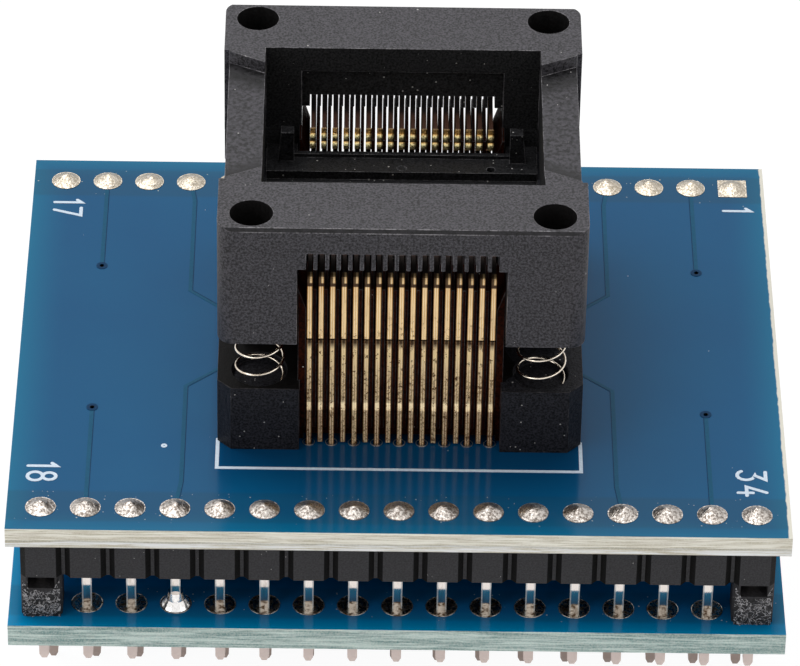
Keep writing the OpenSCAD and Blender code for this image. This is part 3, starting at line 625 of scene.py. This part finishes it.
# Painted reflection: the base between the contacts is tinted warm by the gold mirrored in it.
RIB_GOLD_REFLECTION = moulded_plastic("rib_gold_reflection", linear(14, 3, 0), linear(50, 18, 7),
                              grain_scale=7000.0, rough=0.6, dust_cover=0.02, shine=0.03)
BASE_WORN = moulded_plastic("base_worn_edge", linear(8, 7, 8), linear(30, 27, 29),
                            grain_scale=7000.0, rough=0.5, dust_cover=0.02, shine=0.12, wear_and_sheen=0.12)
PLATFORM_PLASTIC = moulded_plastic("platform_plastic", linear(8, 8, 9), linear(42, 42, 44),
                                   grain_scale=8000.0, rough=0.44, dust_cover=0.3, shine=0.12)
# Paler rounded edges of the platform: wear and a painted edge highlight.
PLATFORM_WORN_EDGE_HIGHLIGHT = moulded_plastic("platform_worn_edge_highlight", linear(20, 20, 21), linear(80, 80, 82),
                                grain_scale=8000.0, rough=0.5, dust_cover=0.1, shine=0.2, wear_and_sheen=0.6)
COVER_PLASTIC = moulded_plastic("cover_plastic", linear(7, 7, 8), linear(80, 78, 83),
                                grain_scale=7600.0, rough=0.52, dust_cover=0.02)
# Rails, painted darker in their corners by the steps as shade.
RAIL_PLASTIC = moulded_plastic("rail_plastic", linear(1, 1, 1), linear(70, 68, 73),
                               grain_scale=3800.0, rough=0.5, dust_cover=0.06, painted_shade=rail_corner_shade)
# Painted shade on the walls of the bay.
COVER_SHADE = moulded_plastic("cover_recess_shade", linear(10, 10, 11), linear(48, 48, 49),
                              grain_scale=7600.0, rough=0.5, dust_cover=0.16, shine=0.15)
# Paler rounded edges of the cover: wear and a painted edge highlight.
COVER_WORN_EDGE_HIGHLIGHT = moulded_plastic("cover_worn_edge_highlight", linear(14, 14, 15), linear(86, 84, 89),
                             grain_scale=7600.0, rough=0.5, dust_cover=0.1, shine=0.25, wear_and_sheen=0.5)
TIN = pin_tin("tin_plate")
SOLDER = plated_metal("satin_solder", linear(232, 226, 218), linear(122, 108, 94),
                      rough=0.34, scale=4200.0, low=0.5, high=0.64)
DOME_SOLDER = grainy_solder("dome_solder", linear(214, 207, 200), linear(116, 106, 98))
TOUCH_UP_SILVER = plated_metal("touch_up_silver", linear(246, 244, 242), linear(160, 150, 140),
                               rough=0.1, scale=2600.0, low=0.6, high=0.75)
FLUX_DARK = plated_metal("fluxed_solder", linear(44, 38, 34), linear(24, 18, 14),
                         rough=0.3, scale=3000.0, low=0.5, high=0.7)
RING_TIN = plated_metal("ring_tin", linear(196, 190, 180), linear(84, 64, 42),
                        rough=0.2, scale=3600.0, low=0.46, high=0.62)
STEEL = plated_metal("spring_wire", linear(242, 230, 214), linear(150, 134, 116),
                     rough=0.12, scale=2200.0, low=0.5, high=0.75)
GOLD = gold_strip("contact_gold")
INK = plain_print("white_ink", linear(214, 228, 242), rough=0.5)
VIA_DARK = plain_print("via_shadow", linear(6, 10, 16), rough=0.4)


# Mesh helpers

ROUND_STEPS = 40
SMALL_ROUND_STEPS = 24
BEAD_SIDES = 8
CAP_STEPS = 6
SHARPEST_TURN = 0.35


def piece_from(bm, name, body, slot, *materials):
    """A finished piece from a bmesh in the part's frame, riding on its body."""
    mesh = bpy.data.meshes.new(name)
    bm.to_mesh(mesh)
    bm.free()
    made = bpy.data.objects.new(name, mesh)
    bpy.context.scene.collection.objects.link(made)
    for material in materials:
        mesh.materials.append(material)
    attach(made, body)
    return made


def smooth(made, angle):
    """Smooth shading, but sharp where faces meet at more than an angle in degrees."""
    for face in made.data.polygons:
        face.use_smooth = True
    made.data.set_sharp_from_angle(angle=math.radians(angle))
    return made


def join_rings(bm, lower, upper):
    """A wall of faces between two closed rings of corners."""
    for i, corner in enumerate(lower):
        j = (i + 1) % len(lower)
        bm.faces.new((corner, lower[j], upper[j], upper[i]))


def add_slab(bm, outline, low, high):
    """A flat plate: an outline in plan, raised from low to high."""
    foot = [bm.verts.new((x, y, low)) for x, y in outline]
    crest = [bm.verts.new((x, y, high)) for x, y in outline]
    bm.faces.new(crest)
    bm.faces.new(reversed(foot))
    join_rings(bm, foot, crest)


def add_circles(bm, centre, circles, steps):
    """A closed skin through circles in plan, each given by its radius and height."""
    turns = [2 * math.pi * i / steps for i in range(steps)]
    rings = [[bm.verts.new((centre[0] + radius * math.cos(turn), centre[1] + radius * math.sin(turn), z))
              for turn in turns] for radius, z in circles]
    for lower, upper in zip(rings, rings[1:] + rings[:1]):
        join_rings(bm, lower, upper)


def add_ring(bm, centre, inner, outer, low, high, steps=ROUND_STEPS):
    """A flat washer round a centre in plan."""
    add_circles(bm, centre, [(inner, low), (outer, low), (outer, high), (inner, high)], steps)


def add_bead(bm, centre, radius, thick, z):
    """A round bead laid in a circle on a face at height z; its lower half is sunk in the face."""
    turns = [2 * math.pi * k / BEAD_SIDES for k in range(BEAD_SIDES)]
    circles = [(radius + thick * math.cos(turn), z + thick * math.sin(turn)) for turn in turns]
    add_circles(bm, centre, circles, ROUND_STEPS)


def stroke_outline(points, width):
    """The outline of a pen stroke along points in plan, with round ends."""
    half = width / 2
    path = [Vector(point) for point in points]
    headings = [(b - a).normalized() for a, b in zip(path, path[1:])]
    sides = []
    for i, point in enumerate(path):
        before = headings[max(i - 1, 0)]
        after = headings[min(i, len(headings) - 1)]
        mean = (before + after).normalized()
        reach = half / max(mean.dot(after), SHARPEST_TURN)
        sides.append((point, Vector((-mean.y, mean.x)) * reach))
    left = [point + off for point, off in sides]
    right = [point - off for point, off in sides]

    def cap(centre, heading):
        start = math.atan2(heading.y, heading.x) + math.pi / 2
        turns = [start - math.pi * k / CAP_STEPS for k in range(1, CAP_STEPS)]
        return [centre + half * Vector((math.cos(turn), math.sin(turn))) for turn in turns]

    return left + cap(path[-1], headings[-1]) + right[::-1] + cap(path[0], -headings[0])


def arc(centre, radius_w, radius_h, first, last, steps=10):
    """Points on an ellipse from one angle to another, in degrees."""
    angles = [math.radians(first + (last - first) * i / steps) for i in range(steps + 1)]
    return [(centre[0] + radius_w * math.cos(a), centre[1] + radius_h * math.sin(a)) for a in angles]


# Board print

# Strokes of the digits, across and up, in shares of their height
DIGITS = {
    "1": [[(0.3, 0.0), (0.3, 1.0), (0.14, 0.84)]],
    "3": [[(0.04, 1.0), (0.48, 1.0), (0.24, 0.62)]
          + arc((0.23, 0.31), 0.26, 0.31, 90, -150)],
    "4": [[(0.52, 0.3), (0.02, 0.3), (0.34, 1.0)], [(0.36, 0.52), (0.36, 0.0)]],
    "7": [[(0.02, 1.0), (0.5, 1.0), (0.16, 0.0)]],
    "8": [arc((0.26, 0.27), 0.24, 0.27, 80, 280), arc((0.26, 0.27), 0.24, 0.27, -100, 100),
          arc((0.26, 0.77), 0.2, 0.23, 80, 280), arc((0.26, 0.77), 0.2, 0.23, -100, 100)],
}
# How far each digit that another follows moves the next one on
DIGIT_ADVANCE = {"1": 0.62, "3": 0.86}
# Pin numbers and where each starts on the board, in millimetres
NUMBERS = [("17", (-20.9, 14.1)), ("1", (19.7, 14.05)), ("18", (-21.2, -11.65)), ("34", (19.35, -11.85))]
BOX_X = 10.43 * MM
BOX_Y = -12.1 * MM
BOX_RETURN = -9.45 * MM
DOT_PLACE = (-13.5 * MM, -10.13 * MM)
DOT_HOLE = 0.04 * MM
DOT_RADIUS = 0.18 * MM


def make_print():
    """White print: pin numbers that read towards the front, the socket's outline and a mark by it."""
    bm = bmesh.new()
    high = BOARD_TOP + INK_HEIGHT
    for text, (left, start) in NUMBERS:
        y = start * MM
        for digit in text:
            for k, stroke in enumerate(DIGITS[digit]):
                points = [(left * MM + h * DIGIT_HEIGHT, y - w * DIGIT_HEIGHT) for w, h in stroke]
                add_slab(bm, stroke_outline(points, INK_WIDTH), BOARD_TOP, high + k * STROKE_STEP)
            y -= DIGIT_ADVANCE.get(digit, 0) * DIGIT_HEIGHT
    corners = [(-BOX_X, BOX_RETURN), (-BOX_X, BOX_Y), (BOX_X, BOX_Y), (BOX_X, BOX_RETURN)]
    add_slab(bm, stroke_outline(corners, INK_WIDTH), BOARD_TOP, high)
    add_ring(bm, DOT_PLACE, DOT_HOLE, DOT_RADIUS, BOARD_TOP, high, SMALL_ROUND_STEPS)
    piece_from(bm, "board_print", "adapter", "board_blue", INK)


def make_traces():
    """Copper tracks under the mask, each with a dark line of painted shade along its inner side."""
    tracks, shade_lines = bmesh.new(), bmesh.new()
    turn_x, socket_x = 12.42 * MM, 10.6 * MM
    pad_x = 5 * PIN_PITCH
    routes = [
        [(VIA_X, -RISER_Y), (VIA_X, VIA_FRONT_Y)],
        [(VIA_X, RISER_Y), (VIA_X, VIA_REAR_Y)],
        [(pad_x, -RISER_Y), (turn_x, -13.4 * MM), (turn_x, -4.5 * MM), (socket_x, -2.85 * MM)],
        [(pad_x, RISER_Y), (turn_x, 14.0 * MM), (turn_x, 4.85 * MM), (socket_x, 3.2 * MM)],
    ]
    for end in (-1, 1):
        for route in routes:
            inner_side = [(end * (x - TRACE_WIDTH / 2), y) for x, y in route]
            track = stroke_outline([(end * x, y) for x, y in route], TRACE_WIDTH)
            line = stroke_outline(inner_side, TRACE_SHADE_WIDTH)
            add_slab(tracks, track, BOARD_TOP - TRACE_HEIGHT, BOARD_TOP + TRACE_HEIGHT)
            add_slab(shade_lines, line, BOARD_TOP - TRACE_HEIGHT, BOARD_TOP + TRACE_HEIGHT + STROKE_STEP)
    piece_from(tracks, "board_traces", "adapter", "board_blue", TRACE_MASK)
    piece_from(shade_lines, "trace_shade_lines", "adapter", "board_blue", TRACE_SHADE_AND_VIA_RING)


def make_vias():
    """Small plated holes at the ends of the straight tracks."""
    rings, holes = bmesh.new(), bmesh.new()
    for end in (-1, 1):
        for y in (VIA_FRONT_Y, VIA_REAR_Y):
            add_ring(rings, (end * VIA_X, y), VIA_HOLE, VIA_RADIUS, BOARD_TOP,
                     BOARD_TOP + 2 * TRACE_HEIGHT, SMALL_ROUND_STEPS)
            add_slab(holes, arc((end * VIA_X, y), VIA_HOLE, VIA_HOLE, 0, 345, SMALL_ROUND_STEPS - 1),
                     BOARD_TOP, BOARD_TOP + TRACE_HEIGHT)
    piece_from(rings, "via_rings", "adapter", "board_blue", TRACE_SHADE_AND_VIA_RING)
    piece_from(holes, "via_holes", "adapter", "board_blue", VIA_DARK)


# Pads and solder

TAIL_HOLE = 0.31 * MM
TAIL_PAD = 0.36 * MM


def row_places(side, pitch=PIN_PITCH, reach=RISER_Y):
    """The places of one row of seventeen, from left to right."""
    return [((i - (PIN_COUNT - 1) / 2) * pitch, side * reach) for i in range(PIN_COUNT)]


def make_pads():
    """Tinned pads under the solder, square at pin 1, and the pads of the lower board and the tails."""
    bm = bmesh.new()
    for side in (FRONT, REAR):
        for i, place in enumerate(row_places(side)):
            if side == REAR and i == PIN_COUNT - 1:
                square = [(place[0] + sx * PAD_RADIUS, place[1] + sy * PAD_RADIUS)
                          for sx, sy in ((-1, -1), (1, -1), (1, 1), (-1, 1))]
                add_slab(bm, square, BOARD_TOP, BOARD_TOP + PAD_HEIGHT)
            else:
                add_ring(bm, place, HOLE_RADIUS, PAD_RADIUS, BOARD_TOP, BOARD_TOP + PAD_HEIGHT)
    piece_from(bm, "top_pads", "adapter", "solder", DOME_SOLDER)
    bm = bmesh.new()
    for side in (FRONT, REAR):
        for place in row_places(side):
            add_ring(bm, place, PIN_WIDTH / 2, RING_RADIUS, LOWER_TOP, LOWER_TOP + PAD_HEIGHT)
            add_bead(bm, place, RING_RADIUS, PAD_HEIGHT, LOWER_TOP + PAD_HEIGHT / 2)
            add_ring(bm, place, PIN_WIDTH / 2, RING_RADIUS, LOWER_FOOT - PAD_HEIGHT, LOWER_FOOT)
    piece_from(bm, "lower_pads", "adapter", "solder", RING_TIN)
    bm = bmesh.new()
    for side in (FRONT, REAR):
        for place in row_places(side, CONTACT_PITCH, TAIL_Y)[::2]:
            add_ring(bm, place, TAIL_HOLE, TAIL_PAD, BOARD_TOP, BOARD_TOP + PAD_HEIGHT, SMALL_ROUND_STEPS)
    piece_from(bm, "tail_pads", "adapter", "solder", SOLDER)


DOME_RINGS = 14
DOME_STEPS = 44
DOME_LEAN = 0.12
DOME_RIPPLE = 0.16
DOME_PITS = 0.045
DOME_DIMPLE = 0.1
DOME_FILL = 0.92


def add_dome(bm, place, radius, height, chance):
    """A hand-soldered joint: a cone with a hollow flank, a blunt tip and an uneven skin."""
    lean = Vector([chance.uniform(-DOME_LEAN, DOME_LEAN) for _ in range(2)]) * radius
    hollow = chance.uniform(0.3, 0.62)
    blunt = chance.uniform(0.12, 0.2)
    shift = Vector([chance.uniform(0, 50) for _ in range(3)])
    crest = height * chance.uniform(0.82, 1.0)
    loops = []
    for k in range(DOME_RINGS, 0, -1):
        share = k / DOME_RINGS
        rise = (1 - hollow) * (1 - share ** 2) + hollow * (1 - share) ** 2
        cap = max(0.0, 1 - share / blunt) ** 2
        loop = []
        for i in range(DOME_STEPS):
            angle = 2 * math.pi * i / DOME_STEPS
            spoke = Vector((share * math.cos(angle), share * math.sin(angle), 0))
            ripple = noise.noise(2.2 * spoke + shift)
            pits = noise.noise(9 * spoke + Vector((0, 0, 3)) + shift)
            reach = radius * share * (1 + 0.03 * ripple * share)
            z = crest * (rise * (1 + DOME_RIPPLE * ripple + DOME_PITS * pits) - DOME_DIMPLE * cap)
            centre = Vector(place) + lean * (1 - share)
            loop.append(bm.verts.new((centre.x + reach * math.cos(angle),
                                      centre.y + reach * math.sin(angle),
                                      BOARD_TOP + PAD_HEIGHT / 2 + max(z, 0.0) * DOME_FILL)))
        loops.append(loop)
    for lower, upper in zip(loops, loops[1:]):
        join_rings(bm, lower, upper)
    bm.faces.new(loops[-1])
    bm.faces.new(reversed(loops[0]))


def make_domes(side, row):
    """The solder on one row of riser pins, each joint a little different."""
    chance = random.Random(SEED + side)
    dome_low, dome_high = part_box("top_solder_" + row)
    bm = bmesh.new()
    for place in row_places(side):
        add_dome(bm, place, (dome_high.y - dome_low.y) / 2, dome_high.z - BOARD_TOP, chance)
    made = smooth(piece_from(bm, "solder_domes_" + row, "adapter", "solder", DOME_SOLDER), 75)
    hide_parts("top_solder_" + row)


# Springs

WIRE_RADIUS = 0.08 * MM
WIRE_SIDES = 10
STEPS_PER_TURN = 36
SPRING_TURNS = 7
SPRING_START = math.radians(-25)


def make_spring(corner):
    """A wire coil, as long as the imported spring; the real one shortens with the cover."""
    low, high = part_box("spring_" + corner)
    centre = (low + high) / 2
    coil = (high.y - low.y) / 2 - WIRE_RADIUS
    length = high.z - low.z
    steps = SPRING_TURNS * STEPS_PER_TURN
    bm = bmesh.new()
    loops = []
    for i in range(steps + 1):
        angle = SPRING_START + 2 * math.pi * SPRING_TURNS * i / steps
        middle = low.z + WIRE_RADIUS + (length - 2 * WIRE_RADIUS) * i / steps
        loop = []
        for k in range(WIRE_SIDES):
            round_wire = 2 * math.pi * k / WIRE_SIDES
            radius = coil + WIRE_RADIUS * math.cos(round_wire)
            loop.append(bm.verts.new((centre.x + radius * math.cos(angle),
                                      centre.y + radius * math.sin(angle),
                                      middle + WIRE_RADIUS * math.sin(round_wire))))
        loops.append(loop)
    for lower, upper in zip(loops, loops[1:]):
        for k in range(WIRE_SIDES):
            n = (k + 1) % WIRE_SIDES
            bm.faces.new((lower[k], upper[k], upper[n], lower[n]))
    bm.faces.new(loops[0])
    bm.faces.new(reversed(loops[-1]))
    made = smooth(piece_from(bm, "coil_" + corner, "adapter", "spring_steel", STEEL), 60)
    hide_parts("spring_" + corner)
    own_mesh(made)


# Torn faces of the spacers

TORN_COLUMNS, TORN_ROWS = 30, 26
TORN_MARGIN = 0.1 * MM
TORN_LUMP = 0.09 * MM
TORN_SWAY = 0.05 * MM
TORN_SHARE = 0.66
HORN_START = 0.62
HORN_RISE = 0.8


def make_torn_face(corner):
    """The rough front of a spacer that was broken from a longer header."""
    low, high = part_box("spacer_" + corner)
    chance = Vector((SEED, low.x / MM, 0))
    half = (high.x - low.x) / 2 - TORN_MARGIN
    rise = high.z - low.z
    bm = bmesh.new()
    grid = []
    for j in range(TORN_ROWS + 1):
        line = []
        for i in range(TORN_COLUMNS + 1):
            across, up = i / TORN_COLUMNS, j / TORN_ROWS
            spot = Vector((14 * across, 12 * up, 0)) + chance
            fade = min(1.0, 6 * min(across, 1 - across, 1 - up) + 0.1)
            lump = TORN_LUMP * (0.3 + noise.noise(spot * 0.5) + noise.noise(spot * 1.9)) * fade
            horn = max(0.0, abs(2 * across - 1) - HORN_START) * HORN_RISE
            crest = rise * (TORN_SHARE + horn + 0.05 * noise.noise(Vector((9 * across, 2, 0)) + chance))
            sway = TORN_SWAY * noise.noise(spot * 1.3 + Vector((0, 0, 5)))
            line.append(bm.verts.new(((low.x + high.x) / 2 + (2 * across - 1) * half + sway,
                                      low.y - STROKE_STEP - max(lump, 0.0),
                                      low.z + up * crest + sway * up)))
        grid.append(line)
    for below, above in zip(grid, grid[1:]):
        for i in range(TORN_COLUMNS):
            bm.faces.new((below[i], below[i + 1], above[i + 1], above[i]))
    piece_from(bm, "torn_" + corner, "adapter", "spacer_black", TORN_PLASTIC)


# Finishes of the solids

COVER_ROUND = 0.09 * MM
PLATFORM_ROUND = 0.05 * MM
BASE_ROUND = 0.03 * MM
ROUND_SEGMENTS = 2
SHARP_ANGLE = math.radians(35)
FLAT_ANGLE = math.radians(1)
WELD_REACH = 0.0005 * MM
FACE_SKIN = 0.01 * MM
TOP_SKIN = 0.05 * MM
RECESS_MARGIN = 0.9 * MM


def finish_solid(name, *materials):
    """Gives a solid its own materials, the first of them all over."""
    solid = nodes[name]
    solid.data.materials.clear()
    for material in materials:
        solid.data.materials.append(material)
    return solid


def round_edges(solid, width, edge_finish):
    """Small rounds along the sharp edges of a solid, in a finish of their own: worn, and on the cover and
    the platform also a painted edge highlight.
    """
    solid.data.materials.append(edge_finish)
    weld = solid.modifiers.new("weld", "WELD")
    weld.merge_threshold = WELD_REACH
    flat = solid.modifiers.new("flatten", "DECIMATE")
    flat.decimate_type = "DISSOLVE"
    flat.angle_limit = FLAT_ANGLE
    rounds = solid.modifiers.new("rounds", "BEVEL")
    rounds.width = width
    rounds.segments = ROUND_SEGMENTS
    rounds.limit_method = "ANGLE"
    rounds.angle_limit = SHARP_ANGLE
    rounds.harden_normals = True
    rounds.use_clamp_overlap = True
    rounds.material = len(solid.data.materials) - 1


def paint(solid, index, wanted):
    """Gives the faces that a test picks another of the solid's materials."""
    for face in solid.data.polygons:
        if wanted(face):
            face.material_index = index


def finish_board(name, mask, edge):
    """Mask on both faces, bare fibre on the outer edges and plating in the holes."""
    board = finish_solid(name, mask, edge, RING_TIN)
    low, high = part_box(name)

    def outer(face):
        spot = face.center
        return (spot.x < low.x + FACE_SKIN or spot.x > high.x - FACE_SKIN
                or spot.y < low.y + FACE_SKIN or spot.y > high.y - FACE_SKIN)

    paint(board, 2, lambda face: abs(face.normal.z) < 0.5)
    paint(board, 1, outer)


def finish_cover():
    """Painted shade in the recesses, which are the blind holes in the top and the walls of the bay, and
    rougher rails with painted shade in their corners.
    """
    cover = finish_solid("cover", COVER_PLASTIC, COVER_SHADE, SHADED_PLASTIC, RAIL_PLASTIC)

    def below_top(face):
        return face.center.z < COVER_TOP - TOP_SKIN

    def in_hole(face):
        off = math.hypot(abs(face.center.x) - COVER_HOLE_X, abs(face.center.y) - COVER_HOLE_Y)
        return below_top(face) and off < COVER_HOLE_RADIUS

    def in_bay(face):
        return below_top(face) and abs(face.center.x) < BAY_X and abs(face.center.y) < BAY_Y

    def on_rail(face):
        return below_top(face) and face.normal.z > 0.3 and abs(face.center.x) > BAY_X

    paint(cover, 3, on_rail)
    # Painted shade on the walls of the bay and in the blind holes.
    paint(cover, 1, in_bay)
    paint(cover, 2, in_hole)
    round_edges(cover, COVER_ROUND, COVER_WORN_EDGE_HIGHLIGHT)


def finish_base():
    """Painted shade in the spring seats, and a painted warm reflection of the gold between the contacts."""
    base = finish_solid("socket_base", BASE_PLASTIC, RIB_GOLD_REFLECTION, SHADED_PLASTIC)
    corners = base.data.vertices
    recess_half = CONTACT_PITCH * PIN_COUNT / 2 + RECESS_MARGIN

    def between_contacts(face):
        return all(abs(corners[index].co.x) < recess_half for index in face.vertices)

    # Painted shade on the faces by the spring seats, then the painted reflection between the contacts.
    paint(base, 2, lambda face: abs(face.center.x) < recess_half)
    paint(base, 1, between_contacts)
    round_edges(base, BASE_ROUND, BASE_WORN)


def finish_solids():
    """Every solid gets its finish; those with more than one are done by themselves."""
    finish_board("upper_board", UPPER_MASK, UPPER_EDGE)
    finish_board("lower_board", LOWER_MASK, LOWER_EDGE)
    plain = {
        "plug_header": HEADER_PLASTIC, "riser_header": HEADER_PLASTIC, "spacer": CUT_PLASTIC,
        "plug_pins": TIN, "riser_pins": TIN, "top_solder": SOLDER, "stub_solder": SOLDER,
        "plug_solder": SOLDER, "touch_up_solder": TOUCH_UP_SILVER, "tail_solder": FLUX_DARK,
        "chip_platform": PLATFORM_PLASTIC, "contact_stems": GOLD, "contact_levers": GOLD, "spring": STEEL,
    }
    for name in nodes:
        for start, material in plain.items():
            if name.startswith(start):
                finish_solid(name, material)
    for row in ("front", "rear"):
        header = finish_solid("riser_header_" + row, HEADER_PLASTIC, SHADED_PLASTIC)
        # Painted shade on the headers' slanted faces.
        paint(header, 1, lambda face: min(abs(face.normal.x), abs(face.normal.y)) > 0.3)
    finish_cover()
    finish_base()
    round_edges(nodes["chip_platform"], PLATFORM_ROUND, PLATFORM_WORN_EDGE_HIGHLIGHT)


# Stage, light and camera

def seen_rays(tree):
    """1 for a ray that is seen straight, in a mirror or through glass."""
    rays = add(tree, "ShaderNodeLightPath").outputs
    mirrored = larger(tree, rays["Is Glossy Ray"], rays["Is Transmission Ray"])
    return larger(tree, rays["Is Camera Ray"], mirrored)


def make_floor():
    """A pale floor that is seen as white but keeps the part's shadow."""
    bm = bmesh.new()
    bmesh.ops.create_grid(bm, x_segments=1, y_segments=1, size=FLOOR_SIZE / 2)
    mesh = bpy.data.meshes.new("floor")
    bm.to_mesh(mesh)
    bm.free()
    floor = bpy.data.objects.new("floor", mesh)
    bpy.context.scene.collection.objects.link(floor)
    made = bpy.data.materials.new("pale_floor")
    made.use_nodes = True
    tree = made.node_tree
    tree.nodes.clear()
    lit = add(tree, "ShaderNodeBsdfDiffuse", {"Color": (FLOOR_GREY, FLOOR_GREY, FLOOR_GREY, 1)})
    white = add(tree, "ShaderNodeEmission", {"Color": (1, 1, 1, 1), "Strength": FLOOR_WHITE})
    share = times(tree, seen_rays(tree), 1 - FLOOR_SHADOW)
    blend = add(tree, "ShaderNodeMixShader", {0: share, 1: lit.outputs[0], 2: white.outputs[0]})
    add(tree, "ShaderNodeOutputMaterial", {"Surface": blend.outputs[0]})
    mesh.materials.append(made)


def make_world():
    """An even soft light, which is white where it is seen or mirrored."""
    world = bpy.data.worlds.new("studio")
    bpy.context.scene.world = world
    world.use_nodes = True
    tree = world.node_tree
    sky = tree.nodes["Background"]
    sky.inputs["Color"].default_value = (1, 1, 1, 1)
    tree.links.new(grade(tree, seen_rays(tree), WORLD_LIGHT, 1.0), sky.inputs["Strength"])


def make_lamp(name, place, size, power):
    """A square soft box that faces the part."""
    lamp = bpy.data.lights.new(name, "AREA")
    lamp.shape = "SQUARE"
    lamp.size = size
    lamp.energy = power
    made = bpy.data.objects.new(name, lamp)
    made.location = Vector(place)
    aim = Vector((0, 0, BOARD_TOP)) - made.location
    made.rotation_euler = aim.to_track_quat("-Z", "Y").to_euler()
    bpy.context.scene.collection.objects.link(made)


def make_camera():
    """A camera at the photograph's viewing angle."""
    data = bpy.data.cameras.new("camera")
    data.sensor_width = SENSOR_WIDTH
    data.lens = FOCAL_PIXELS / IMAGE_WIDTH * SENSOR_WIDTH
    data.clip_start = CLIP_NEAR
    data.clip_end = CLIP_FAR
    camera = bpy.data.objects.new("camera", data)
    bpy.context.scene.collection.objects.link(camera)
    turn = Matrix.Rotation(-CAMERA_TURN, 4, "Z")
    tilt = Matrix.Rotation(math.pi / 2 - CAMERA_TILT, 4, "X")
    roll = Matrix.Rotation(CAMERA_ROLL, 4, "Z")
    place = CAMERA_PLACE + Vector((0, 0, BOARD_TOP))
    camera.matrix_world = Matrix.Translation(place) @ turn @ tilt @ roll
    bpy.context.scene.camera = camera


make_camera()
make_world()
make_floor()
make_lamp("top_box", (-0.12, 0.15, 0.55), size=0.5, power=2.6)
make_lamp("left_box", (-0.45, -0.3, 0.35), size=0.35, power=0.7)
make_lamp("right_box", (0.45, -0.3, 0.35), size=0.35, power=0.3)

finish_solids()
make_print()
make_traces()
make_vias()
make_pads()
make_domes(FRONT, "front")
make_domes(REAR, "rear")
for corner in ("front_left", "front_right", "rear_left", "rear_right"):
    make_spring(corner)
for corner in ("front_left", "front_right"):
    make_torn_face(corner)

bpy.context.scene.view_settings.view_transform = "Standard"
